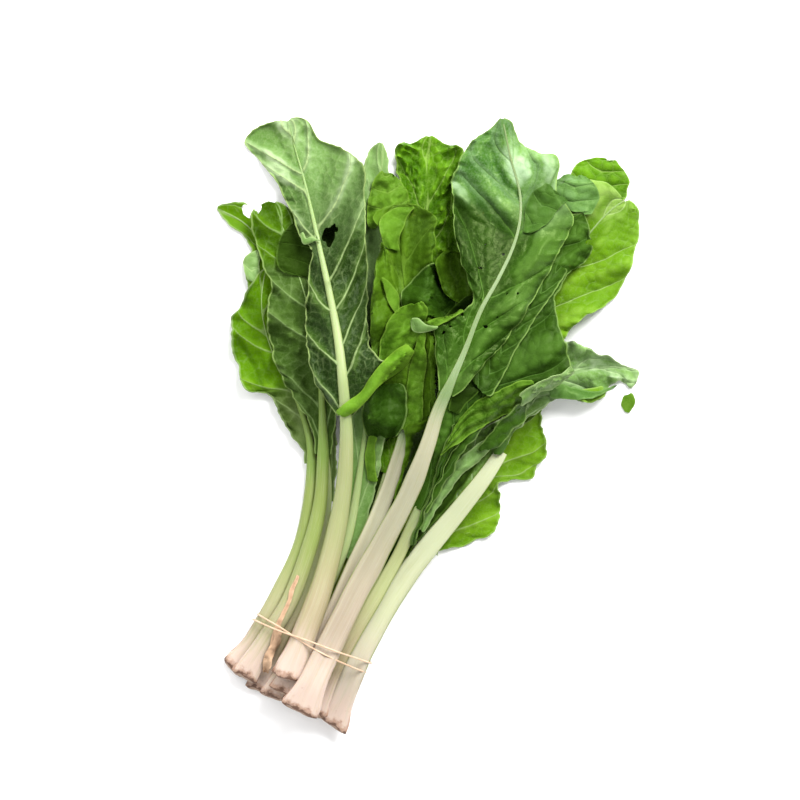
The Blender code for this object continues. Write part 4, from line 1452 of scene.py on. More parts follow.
@dataclass(frozen=True)
class Band:
    """The rubber band, rounded from its plain solid."""

    finish: BandFinish = BandFinish()

    def build(self) -> Piece:
        """A smooth copy of the band's solid."""
        bpy.ops.object.select_all(action="DESELECT")
        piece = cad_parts["rubber_band"].copy()
        piece.data = piece.data.copy()
        for key in list(piece.keys()):
            if key.startswith("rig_"):
                del piece[key]
        piece.parent = None
        piece.name = piece.data.name = "band_cord"
        bpy.context.scene.collection.objects.link(piece)
        bpy.context.view_layer.objects.active = piece
        piece.select_set(True)
        bpy.ops.object.mode_set(mode="EDIT")
        bpy.ops.mesh.select_all(action="SELECT")
        bpy.ops.mesh.remove_doubles(threshold=WELD)
        bpy.ops.mesh.tris_convert_to_quads()
        bpy.ops.object.mode_set(mode="OBJECT")
        round_off = piece.modifiers.new("Round", "SUBSURF")
        round_off.levels = round_off.render_levels = 1
        bpy.ops.object.modifier_apply(modifier=round_off.name)
        bpy.ops.object.shade_smooth()
        Mesher.dress(piece, self.finish.material("band_rubber"), "rubber_band", "rubber_band")
        return piece


@dataclass(frozen=True)
class Studio:
    """Pale floor, soft lights and the camera, which looks straight down on the bunch."""

    width: float = 0.528  # seen across the picture at the height of the leaves
    middle: tuple[float, float] = (0.0, 0.0)
    turn: float = 15.0  # of the picture about the vertical, in degrees
    distance: float = 2.4
    level: float = 0.025
    sensor: float = 36.0  # width of the camera's sensor, in millimetres

    def build(self) -> None:
        """Adds all of it."""
        bpy.ops.object.select_all(action="DESELECT")
        bpy.ops.mesh.primitive_plane_add(size=8, location=(0, 0, -0.0003))
        floor = bpy.context.object
        floor.name = "floor"
        floor.data.materials.append(FloorFinish().material("table_top"))
        self.light("key", (0.35, 1.25, 1.15), 1.0, 66.0)
        self.light("fill", (-1.2, 0.5, 1.3), 1.6, 20.0)
        self.light("front", (0.0, -1.4, 1.1), 1.4, 8.0)
        world = bpy.data.worlds.new("studio")
        bpy.context.scene.world = world
        world.use_nodes = True
        background = world.node_tree.nodes["Background"]
        background.inputs["Color"].default_value = (1, 1, 1, 1)
        background.inputs["Strength"].default_value = 0.55
        bpy.context.scene.view_settings.view_transform = "Standard"
        self.camera()

    def light(self, name: str, place: tuple[float, float, float], size: float, power: float) -> None:
        """Adds a square soft light that faces the bunch.

        Args:
            name: the lamp's name.
            place: where it stands, in metres.
            size: of its side, in metres.
            power: in watts.
        """
        bpy.ops.object.light_add(type="AREA", location=place)
        lamp = bpy.context.object
        lamp.name = name
        lamp.data.size = size
        lamp.data.energy = power
        lamp.rotation_euler = (-Vector(place)).to_track_quat("-Z", "Y").to_euler()

    def camera(self) -> None:
        """A long lens over the bunch."""
        bpy.ops.object.camera_add()
        camera = bpy.context.object
        camera.name = "camera"
        camera.matrix_world = Matrix.Translation((*self.middle, self.level + self.distance)) @ Matrix.Rotation(
            math.radians(self.turn), 4, "Z")
        camera.data.sensor_width = self.sensor
        camera.data.lens = self.sensor * self.distance / self.width
        bpy.context.scene.camera = camera



BRIGHT = BladeFinish(
    "bright_blade", body=(0.157, 0.314, 0.009), deep=(0.086, 0.209, 0.002), light=(0.254, 0.425, 0.054),
    vein=(0.338, 0.474, 0.168), edge=(0.283, 0.435, 0.106),
    tip_tone_and_painted_light=((0.168, 0.321, 0.028), (0.09, 0.209, 0.005), (0.321, 0.464, 0.128)), tip_tone_and_painted_light_from=(0.8, 0.98),
    glow=0.22, net=0.6, lateral=0.55, shine=0.12,
)
CRUMPLED = BladeFinish(
    "bright_blade", body=(0.094, 0.241, 0.003), deep=(0.019, 0.072, 0), light=(0.185, 0.398, 0.018),
    vein=(0.265, 0.407, 0.09), edge=(0.248, 0.384, 0.072),
    glow=0.18, net=0.8, lateral=0.5, shine=0.12,
)
LOW_BRIGHT = BladeFinish(
    "bright_blade", body=(0.086, 0.142, 0.03), deep=(0.051, 0.09, 0.014), light=(0.179, 0.254, 0.086),
    vein=(0.248, 0.342, 0.132), edge=(0.283, 0.384, 0.157),
    tip_tone_and_painted_light=((0.09, 0.215, 0.001), (0.056, 0.147, 0), (0.152, 0.298, 0.009)), tip_tone_and_painted_light_from=(0.3, 0.44),
    glow=0.2, net=0.6, lateral=0.5, shine=0.1,
)
FRESH = BladeFinish(
    "bright_blade", body=(0.114, 0.215, 0.036), deep=(0.021, 0.062, 0.002), light=(0.276, 0.407, 0.142),
    vein=(0.321, 0.454, 0.209), edge=(0.384, 0.479, 0.265),
    tip_tone_and_painted_light=((0.241, 0.398, 0.128), (0.075, 0.173, 0.022), (0.474, 0.579, 0.389)), tip_tone_and_painted_light_from=(0.54, 0.68),
    wax=0.03, glow=0.1, net=0.7, lateral=0.6, shine=0.15,
)
SPRING = BladeFinish(
    "bright_blade", body=(0.075, 0.173, 0.009), deep=(0.019, 0.059, 0.001), light=(0.179, 0.314, 0.041),
    vein=(0.142, 0.254, 0.034), edge=(0.132, 0.241, 0.026),
    glow=0.12, net=0.7, lateral=0.5, shine=0.12,
)
MIDDLE = BladeFinish(
    "dark_blade", body=(0.056, 0.128, 0.004), deep=(0.022, 0.056, 0.002), light=(0.106, 0.209, 0.014),
    vein=(0.097, 0.185, 0.018), edge=(0.097, 0.19, 0.015),
    gloss=0.45, wax=0.03, glow=0.14, net=0.7, lateral=0.45, shine=0.12,
)
DEEP = BladeFinish(
    "dark_blade", body=(0.016, 0.054, 0.001), deep=(0.003, 0.014, 0), light=(0.075, 0.162, 0.022),
    vein=(0.072, 0.168, 0.021), edge=(0.202, 0.321, 0.075),
    tip_tone_and_painted_light=((0.185, 0.346, 0.082), (0.016, 0.079, 0.002), (0.454, 0.591, 0.398)), tip_tone_and_painted_light_from=(0.56, 0.8),
    gloss=0.32, wax=0.01, net=0.5, lateral=0.4, shine=0.2, tint=(0.75, 1, 0.35),
)
INNER = BladeFinish(
    "dark_blade", body=(0.024, 0.066, 0.003), deep=(0.007, 0.024, 0.001), light=(0.054, 0.128, 0.014),
    vein=(0.075, 0.157, 0.028), edge=(0.173, 0.276, 0.069),
    net=0.6, lateral=0.5, shine=0.12,
)
SHADED = BladeFinish(
    "dark_blade", body=(0.043, 0.086, 0.012), deep=(0.019, 0.046, 0.004), light=(0.09, 0.157, 0.036),
    vein=(0.173, 0.261, 0.09), edge=(0.221, 0.321, 0.094),
    tip_tone_and_painted_light=((0.046, 0.114, 0), (0.022, 0.062, 0), (0.082, 0.179, 0.003)), tip_tone_and_painted_light_from=(0.72, 0.8),
    gloss=0.48, glow=0.08, net=0.7, lateral=0.6, shine=0.1,
)
UNDERSIDE = BladeFinish(
    "pale_blade", body=(0.022, 0.055, 0.005), deep=(0.007, 0.022, 0.001), light=(0.072, 0.137, 0.022),
    vein=(0.265, 0.354, 0.144), edge=(0.276, 0.371, 0.123),
    tip_tone_and_painted_light=((0.209, 0.338, 0.11), (0.069, 0.157, 0.021), (0.43, 0.536, 0.321)), tip_tone_and_painted_light_from=(0.5, 0.86),
    glow=0.06, net=0.7, lateral=0.7, shine=0.15, tint=(0.85, 1, 0.7),
)
PALE = BladeFinish(
    "bright_blade", body=(0.132, 0.241, 0.059), deep=(0.075, 0.157, 0.026), light=(0.276, 0.398, 0.173),
    vein=(0.265, 0.384, 0.144), edge=(0.283, 0.398, 0.157),
    gloss=0.45, wax=0.03, glow=0.1, net=0.6, lateral=0.5, shine=0.15, tint=(0.9, 1, 0.8),
)
SIDE = BladeFinish(
    "dark_blade", body=(0.032, 0.082, 0.008), deep=(0.014, 0.043, 0.003), light=(0.069, 0.157, 0.03),
    vein=(0.062, 0.137, 0.024), edge=(0.056, 0.123, 0.021),
    gloss=0.45, wax=0.03, net=0.6, lateral=0.5, shine=0.15,
)
LOBE = BladeFinish(
    "dark_blade", body=(0.072, 0.162, 0.03), deep=(0.036, 0.097, 0.01), light=(0.168, 0.298, 0.114),
    vein=(0.123, 0.228, 0.062), edge=(0.114, 0.215, 0.056),
    gloss=0.4, wax=0.03, net=0.5, lateral=0.4, shine=0.2,
)
# Near-black green for sheets laid in the gaps and hollows between the leaves, where there is shade: painted
# shade.
PAINTED_SHADE = BladeFinish(
    "dark_blade", body=(0.014, 0.034, 0.002), deep=(0.005, 0.014, 0.001), light=(0.03, 0.066, 0.006),
    vein=(0.038, 0.079, 0.009), edge=(0.062, 0.123, 0.015),
    gloss=0.5, wax=0, net=0.5, lateral=0.4, shine=0.08,
)
ROLL = BladeFinish(
    "bright_blade", body=(0.137, 0.276, 0.019), deep=(0.075, 0.19, 0.006), light=(0.241, 0.398, 0.075),
    vein=(0.215, 0.363, 0.056), edge=(0.171, 0.306, 0.028),
    gloss=0.45, wax=0.03, glow=0.12, net=0.5, lateral=0.3, shine=0.15,
)
SHEATH = BladeFinish(
    "bright_blade", body=(0.185, 0.248, 0.032), deep=(0.099, 0.152, 0.009), light=(0.342, 0.384, 0.132),
    vein=(0.363, 0.407, 0.157), edge=(0.132, 0.199, 0.009),
    gloss=0.5, wax=0, glow=0.08, net=0.2, lateral=0.1, shine=0.15,
)
WITHERED = BladeFinish(
    "stalk", body=(0.525, 0.371, 0.248), deep=(0.338, 0.19, 0.106), light=(0.591, 0.474, 0.354),
    vein=(0.474, 0.314, 0.202), edge=(0.474, 0.314, 0.196),
    gloss=0.55, wax=0, glow=0, net=0.8, lateral=0.2, shine=0.2, tint=(1, 0.9, 0.8),
)
PALE_STALK = StalkFinish(high=(0.33, 0.32, 0.21), low=(0.31, 0.25, 0.18), rib=(0.13, 0.2, 0.07),
                         rib_end=(0.13, 0.2, 0.06))
GREEN_STALK = StalkFinish(high=(0.2, 0.26, 0.06), low=(0.3, 0.28, 0.15), rib=(0.15, 0.24, 0.04))
WHITE_STALK = StalkFinish(high=(0.38, 0.4, 0.24), low=(0.43, 0.375, 0.29), rib=(0.38, 0.41, 0.25),
                          rib_end=(0.38, 0.41, 0.25))

LEAVES = (
    Leaf("leaf_low_right", width=11, neck=8, blade_from=0.49, face=Face.LOWER, skin=BRIGHT, seed=11,
        rib_tip=1, rib_power=2.5, rib_to=0.985, relief=Relief(scallop=1.6, frill=2.4, crumple=1.6),
        route=((6, -206), (12, -166), (24, -127), (40, -89), (53, -57), (63, -27), (72, 2), (78, 30),
        (84, 52)),
        left=((0.08, 43, -65), (0.19, 44, -46), (0.36, 48, -24), (0.5, 53, -3), (0.69, 61, 19),
        (0.86, 70, 40), (0.96, 78, 49)),
        right=((0.04, 58, -76), (0.1, 73, -68), (0.15, 85, -60), (0.24, 87, -47), (0.33, 83, -36),
        (0.37, 77, -30), (0.43, 82, -21), (0.45, 94, -21), (0.48, 102, -16), (0.53, 98, -8), (0.58, 105, -2),
        (0.67, 101, 12), (0.78, 94, 25), (0.9, 89, 40))),
    Leaf("leaf_far_left", width=11, neck=8, blade_from=0.38, skin=LOW_BRIGHT, seed=12, rib_tip=0.8,
        rib_power=3, rib_to=0.987, relief=Relief(scallop=1.2),
        route=((-41, -199), (-34, -159), (-27, -123), (-27, -82), (-37, -40), (-58, -5), (-82, 33), (-98, 63),
        (-113, 86), (-130, 98), (-151, 103)),
        left=((0.13, -48, -40), (0.28, -71, -15), (0.44, -91, 14), (0.57, -106, 40), (0.65, -115, 55),
        (0.71, -122, 67), (0.76, -121, 76), (0.8, -119, 83), (0.85, -126, 89), (0.92, -139, 94)),
        right=((0.16, -32, -25), (0.27, -44, -1), (0.42, -60, 29), (0.58, -76, 59), (0.7, -91, 81),
        (0.81, -108, 98), (0.88, -124, 107), (0.92, -134, 111), (0.95, -143, 110)),
        holes=(Hole(-129.2, 107.2, 9.9, 7.9, 75),)),
    Leaf("leaf_back_right", width=11, neck=8.5, blade_from=0.4, skin=BRIGHT, seed=13, rib_tip=1, rib_power=3,
        rib_to=1, relief=Relief(laterals=6, lean=(0.2, 0.14), bulge=2.6, pucker=0.7, frill=2.4, frill_reach=9,
        crumple=2.2, crumple_size=18),
        route=((-6, -204), (2, -165), (14, -127), (30, -86), (48, -38), (62, 17), (73, 75), (84, 123),
        (94, 150), (103, 168), (111, 178)),
        left=((0.06, 36, -28), (0.18, 36, 3), (0.31, 40, 35), (0.44, 42, 66), (0.56, 45, 98), (0.67, 51, 127),
        (0.77, 57, 152), (0.81, 61, 164), (0.85, 66, 173), (0.9, 75, 181), (0.93, 85, 186), (0.96, 95, 187),
        (0.98, 103, 184)),
        right=((0.1, 65, -28), (0.23, 78, 5), (0.38, 87, 42), (0.49, 94, 68), (0.55, 97, 81), (0.59, 102, 93),
        (0.64, 113, 104), (0.67, 122, 112), (0.72, 125, 123), (0.81, 127, 139), (0.9, 126, 155),
        (0.97, 124, 171), (0.98, 120, 181))),
    Leaf("leaf_left", width=12, neck=7, blade_from=0.52, face=Face.LOWER, skin=LOW_BRIGHT, seed=14,
        rib_tip=0.8, rib_power=3, rib_to=0.98, relief=Relief(laterals=6, lean=(0.1, 0.16), bulge=3.2,
        pucker=0.7, crumple=2, crumple_size=16, scallop=1.3, frill=2.2), stalk=GREEN_STALK,
        route=((-60, -190), (-51, -166), (-43, -132), (-38, -99), (-41, -62), (-49, -33), (-65, -7),
        (-83, 12), (-97, 32), (-105, 51), (-108, 73)),
        left=((0.07, -54, -36), (0.14, -64, -28), (0.24, -74, -19), (0.35, -81, -8), (0.39, -92, -9),
        (0.43, -103, -9), (0.48, -105, 0), (0.54, -112, 8), (0.61, -115, 17), (0.68, -120, 28),
        (0.76, -121, 38), (0.81, -118, 48), (0.87, -114, 57), (0.95, -112, 67)),
        right=((0.08, -42, -28), (0.19, -49, -13), (0.31, -58, 2), (0.41, -69, 16), (0.58, -80, 34),
        (0.74, -90, 51), (0.92, -98, 66)),
        creases=(Crease(((-110.3, 18.6), (-100.5, 7.6), (-88.6, -6.3)), rise=-2.2, width=2.2),)),
    Leaf("leaf_top_middle", width=11, neck=8, blade_from=0.42, skin=CRUMPLED, seed=15, rib=Rib.COVERED,
        rib_tip=2, rib_power=1, rib_to=0.429, relief=Relief(bulge=1.5, pucker=1.2, cell=5, crumple=4.2,
        crumple_size=10, stretch=1, sharp=0.7, scallop=1.5, frill=2.5),
        route=((-17, -202), (-10, -163), (0, -119), (5, -77), (7, -35), (6, 5), (0, 52), (-7, 98), (-16, 143),
        (-26, 187)),
        left=((0.04, -4, -25), (0.14, -12, 0), (0.29, -20, 33), (0.43, -26, 65), (0.58, -32, 98),
        (0.72, -35, 128), (0.81, -36, 148), (0.87, -41, 161), (0.92, -46, 172), (0.94, -42, 177),
        (0.97, -33, 180)),
        right=((0.07, 15, -20), (0.17, 23, 6), (0.28, 29, 38), (0.39, 34, 67), (0.53, 32, 101),
        (0.69, 18, 135), (0.8, 3, 155), (0.87, 1, 171), (0.92, -1, 183), (0.95, -11, 184))),
    Leaf("leaf_pale_tip", width=11, neck=8, blade_from=0.27, face=Face.LOWER, skin=PALE, seed=16, rib_tip=0.8,
        rib_power=3, rib_to=0.982, relief=Relief(bulge=2.5),
        route=((-30, -200), (-22, -160), (-13, -119), (-9, -81), (-13, -37), (-19, 6), (-27, 51), (-36, 97),
        (-45, 135), (-55, 174)),
        left=((0.08, -14, -75), (0.19, -22, -43), (0.31, -29, -11), (0.47, -38, 35), (0.64, -47, 80),
        (0.79, -56, 119), (0.87, -60, 141), (0.93, -62, 156), (0.97, -61, 168)),
        right=((0.02, 0, -95), (0.08, 1, -75), (0.15, 1, -51), (0.25, -1, -24), (0.36, -4, 10),
        (0.51, -12, 48), (0.65, -21, 87), (0.77, -30, 119), (0.86, -37, 140), (0.9, -43, 151),
        (0.95, -48, 164))),
    Leaf("leaf_dark_left", width=13, neck=8, blade_from=0.48, face=Face.LOWER, skin=SHADED, seed=17,
        rib_tip=0.8, rib_power=3, rib_to=0.965, relief=Relief(laterals=6, lean=(0.1, 0.16), ridge=1.2,
        bulge=3.4, pucker=1, crumple=1.8, crumple_size=15, scallop=1.2, frill=2.2), stalk=GREEN_STALK,
        route=((-51, -193), (-43, -164), (-35, -136), (-32, -104), (-32, -73), (-38, -41), (-47, -9),
        (-60, 29), (-76, 59), (-95, 88), (-114, 117)),
        left=((0.08, -50, -22), (0.15, -63, -10), (0.22, -75, 1), (0.3, -86, 13), (0.42, -94, 30),
        (0.56, -100, 49), (0.66, -102, 64), (0.73, -110, 73), (0.79, -116, 82), (0.86, -122, 93),
        (0.92, -126, 101), (0.96, -127, 108), (0.98, -124, 114)),
        right=((0.07, -36, -19), (0.19, -37, 4), (0.35, -44, 33), (0.5, -55, 61), (0.66, -69, 84),
        (0.8, -85, 103), (0.89, -96, 113), (0.96, -106, 117)),
        holes=(Hole(-122.8, 108.9, 5.9, 4.0, 75), Hole(-94.4, 112.4, 5.3, 3.3, 15))),
    Leaf("leaf_middle", width=14, neck=9, blade_from=0.56, skin=MIDDLE, seed=18, rib=Rib.COVERED, rib_tip=6,
        rib_power=1, rib_to=0.629, relief=Relief(laterals=5, bulge=1.2, pucker=1, cell=5, channel=0.5,
        crumple=2.4, crumple_size=12, stretch=3, sharp=0.5, scallop=1.3, frill=2.2), stalk=PALE_STALK,
        route=((-24, -195), (-14, -167), (-5, -138), (1, -102), (7, -66), (10, -31), (10, -4), (5, 26),
        (-5, 57), (-17, 88), (-26, 113), (-31, 137)),
        left=((0.02, -1, -10), (0.04, -14, -14), (0.05, -20, -3), (0.15, -21, 19), (0.34, -26, 45),
        (0.54, -33, 70), (0.68, -36, 91), (0.77, -33, 104), (0.82, -37, 111), (0.86, -42, 118),
        (0.88, -50, 121), (0.93, -45, 128), (0.97, -37, 134)),
        right=((0.02, 19, -6), (0.06, 24, 9), (0.18, 20, 30), (0.36, 12, 55), (0.5, 3, 76), (0.62, 0, 96),
        (0.77, -4, 119), (0.9, -8, 135), (0.97, -20, 139)),
        creases=(Crease(((-39.9, 128.4), (-31.3, 111.5), (-21.9, 86.7), (-12.8, 55.0)), step=3.5, width=2),
        Crease(((-28.4, 131.4), (-20.2, 100.8), (-13.0, 68.6)), rise=2.6, width=3), Crease(((-37.3, 103.1),
        (-28.1, 71.4), (-16.8, 26.6)), rise=-2, width=2.2), Crease(((-11.0, 102.0), (3.2, 79.8),
        (11.3, 54.6)), rise=-1.5)),
        holes=(Hole(-8.0, 85.7, 6.6, 4.0, 55),)),
    Leaf("leaf_right", width=16, neck=14, taper=2, blade_from=0.4, skin=FRESH, seed=19, rib_tip=8.5,
        rib_power=0.7, rib_to=0.642, relief=Relief(laterals=8, lean=(0.12, 0.12), bulge=3, pucker=1,
        crumple=4, crumple_size=15, stretch=2.5, sharp=0.5, frill=3.2, scallop=1.3), stalk=WHITE_STALK,
        route=((12, -208), (16, -183), (20, -155), (28, -121), (42, -84), (58, -49), (70, -20), (77, 2),
        (84, 26), (93, 47), (109, 60), (130, 68), (151, 71)),
        left=((0.02, 34, -69), (0.04, 26, -51), (0.12, 28, -30), (0.24, 37, -12), (0.35, 51, 2),
        (0.46, 67, 15), (0.55, 74, 29), (0.63, 81, 46), (0.69, 87, 63), (0.73, 94, 77), (0.79, 107, 78),
        (0.85, 123, 75), (0.93, 138, 72)),
        right=((0.02, 51, -77), (0.15, 62, -51), (0.26, 70, -32), (0.35, 76, -14), (0.44, 77, 3),
        (0.49, 82, 13), (0.54, 87, 22), (0.6, 96, 34), (0.65, 107, 40), (0.69, 117, 41), (0.81, 130, 46),
        (0.85, 132, 53), (0.91, 138, 61), (0.95, 149, 57)),
        creases=(Crease(((38.2, 12.6), (57.6, 29.5), (81.4, 42.7), (104.7, 57.8)), rise=3),
        Crease(((51.7, 0.5), (73.0, 23.3), (95.4, 41.6)), rise=-2, width=3))),
    Leaf("leaf_inner_right", width=11, neck=8, blade_from=0.4, skin=INNER, seed=20, rib=Rib.COVERED,
        rib_tip=4, rib_power=1, rib_to=0.461, relief=Relief(lean=(0.2, 0.12), bulge=3, pucker=0.8, crumple=2,
        crumple_size=15, frill=2.4, scallop=1.2),
        route=((0, -204), (7, -163), (17, -126), (26, -92), (31, -63), (37, -33), (44, -2), (52, 26),
        (56, 52), (58, 75), (61, 100), (67, 128), (76, 147), (87, 163)),
        left=((0.09, 28, -30), (0.19, 25, -3), (0.28, 25, 24), (0.41, 29, 51), (0.55, 35, 79),
        (0.69, 44, 108), (0.81, 54, 134), (0.93, 71, 157)),
        right=((0.02, 40, -50), (0.1, 45, -32), (0.18, 50, -14), (0.29, 59, 10), (0.36, 69, 28),
        (0.4, 81, 39), (0.42, 94, 47), (0.46, 107, 58), (0.51, 100, 70), (0.57, 93, 80), (0.62, 87, 90),
        (0.68, 83, 101), (0.75, 84, 116), (0.82, 96, 130), (0.92, 99, 144), (0.96, 94, 153)),
        holes=(Hole(96.5, 144.4, 7.9, 4.0, -5),)),
    Leaf("leaf_front_left", width=17, neck=7.5, blade_from=0.47, face=Face.LOWER, skin=UNDERSIDE, seed=21,
        rib_tip=0.9, rib_power=1.2, rib_to=0.987, relief=Relief(lean=(0.09, 0.15), ridge=1.7, ridge_width=1.3,
        bulge=5, pucker=1.1, cell=6.5, frill=2.2, crumple=2, crumple_size=15),
        route=((-22, -185), (-20, -160), (-17, -124), (-17, -86), (-20, -53), (-26, -24), (-33, -2),
        (-46, 33), (-60, 63), (-74, 90), (-85, 111), (-98, 135), (-110, 155), (-120, 172)),
        left=((0.02, -43, -4), (0.07, -55, 6), (0.15, -64, 21), (0.26, -71, 39), (0.38, -76, 60),
        (0.48, -79, 80), (0.56, -80, 94), (0.58, -90, 96), (0.66, -100, 111), (0.73, -109, 122),
        (0.79, -119, 132), (0.84, -131, 141), (0.9, -146, 149), (0.95, -140, 160), (0.98, -131, 167)),
        right=((0.02, -18, 12), (0.05, 0, 47), (0.09, -15, 31), (0.18, -28, 40), (0.29, -35, 63),
        (0.4, -42, 88), (0.52, -50, 113), (0.62, -56, 136), (0.71, -62, 156), (0.77, -73, 161),
        (0.83, -85, 163), (0.87, -95, 163), (0.94, -104, 173), (0.98, -112, 177)),
        veins=((0.016, 0.158, 0.343, 0.574, 0.745, 0.811, 0.948),
        (0.116, 0.22, 0.343, 0.442, 0.617, 0.82, 0.92)),
        creases=(Crease(((-87.9, 95.7), (-84.2, 97.4), (-82.2, 100.0), (-78.5, 98.9)), rise=2.2, width=1.8),
        Crease(((-80.5, 83.3), (-75.9, 68.8), (-67.4, 57.5), (-57.9, 55.2)), rise=1.6, step=1.6, width=1.8),
        Crease(((-66.6, 31.7), (-56.8, 28.2), (-44.0, 21.3)), rise=1.2, width=1.5)),
        holes=(Hole(-72.3, 104.0, 13.9, 8.6, 93), Hole(-70.3, 109.3, 5.9, 5.3, 45),
        Hole(-87.0, 89.8, 11.2, 8.6, 5))),
    Leaf("leaf_front_right", width=18, neck=7.5, taper=2, blade_from=0.54, skin=DEEP, seed=22, rib_tip=0.9,
        rib_power=12, rib_to=0.99, relief=Relief(lean=(0.2, 0.16), ridge=0.5, ridge_width=1.6, bulge=3,
        cell=7, frill=2.4, crumple=3.2, crumple_size=20), stalk=PALE_STALK, tip_lean=0.05, rib_start=3.6,
        route=((-10, -203), (-3, -164), (5, -125), (14, -85), (22, -50), (26, -17), (27, 8), (30, 29),
        (34, 54), (37, 81), (43, 105), (47, 127), (47, 146), (42, 165), (30, 186), (18, 210)),
        left=((0.02, 23, 27), (0.09, 15, 49), (0.15, 10, 65), (0.21, 20, 71), (0.26, 26, 78), (0.32, 32, 88),
        (0.34, 24, 99), (0.37, 16, 111), (0.41, 8, 125), (0.49, 1, 144), (0.71, -3, 161), (0.84, -2, 176),
        (0.88, 1, 186), (0.92, 6, 195), (0.94, 11, 200), (0.96, 15, 203), (0.98, 15, 207)),
        right=((0.02, 39, 27), (0.13, 50, 51), (0.21, 60, 71), (0.35, 68, 94), (0.44, 73, 114),
        (0.53, 77, 132), (0.6, 82, 150), (0.63, 81, 161), (0.67, 69, 166), (0.71, 63, 177), (0.74, 64, 188),
        (0.77, 61, 198), (0.8, 49, 194), (0.85, 40, 194), (0.9, 32, 198), (0.94, 28, 205), (0.97, 25, 209)),
        veins=((0.025, 0.166, 0.324, 0.575, 0.695, 0.842, 0.951), (0.074, 0.221, 0.341, 0.591, 0.706, 0.842)),
        creases=(Crease(((48.3, 135.6), (36.5, 141.3), (26.8, 146.9), (14.3, 157.9), (5.8, 169.3),
        (-0.4, 177.2)), rise=-3.4, width=4.2), Crease(((45.2, 160.1), (34.9, 165.5), (24.9, 174.4),
        (16.4, 185.8), (12.8, 191.7)), rise=-3, width=3.2), Crease(((37.6, 89.0), (32.5, 108.1),
        (26.7, 127.1)), rise=-0.8, width=1.5), Crease(((58.2, 139.6), (66.2, 150.6), (74.1, 161.7),
        (80.9, 166.9)), rise=1.4, width=4), Crease(((54.8, 96.3), (61.4, 117.3), (68.1, 138.2)), rise=1.6,
        width=3)),
        holes=(Hole(12.1, 120.4, 2.6, 2.0, 75), Hole(28.8, 124.2, 3.3, 1.3, 45),
        Hole(41.8, 121.6, 2.6, 2.0, -25), Hole(29.1, 107.9, 4.6, 2.6, 30), Hole(30.3, 100.7, 2.0, 1.6, 15),
        Hole(50.6, 96.6, 2.2, 1.6, 15), Hole(57.6, 98.5, 2.0, 1.6, 15), Hole(42.6, 71.9, 4.0, 2.0, 0),
        Hole(48.6, 79.9, 2.0, 1.5, 15), Hole(26.1, 75.7, 2.6, 2.0, 75), Hole(17.3, 61.0, 3.3, 2.0, 65),
        Hole(20.5, 66.0, 2.0, 1.6, 15), Hole(35.4, 88.1, 2.0, 1.5, 15), Hole(16.9, 69.1, 4.0, 2.6, 35),
        Hole(23.1, 76.9, 3.3, 2.6, 15))),
)

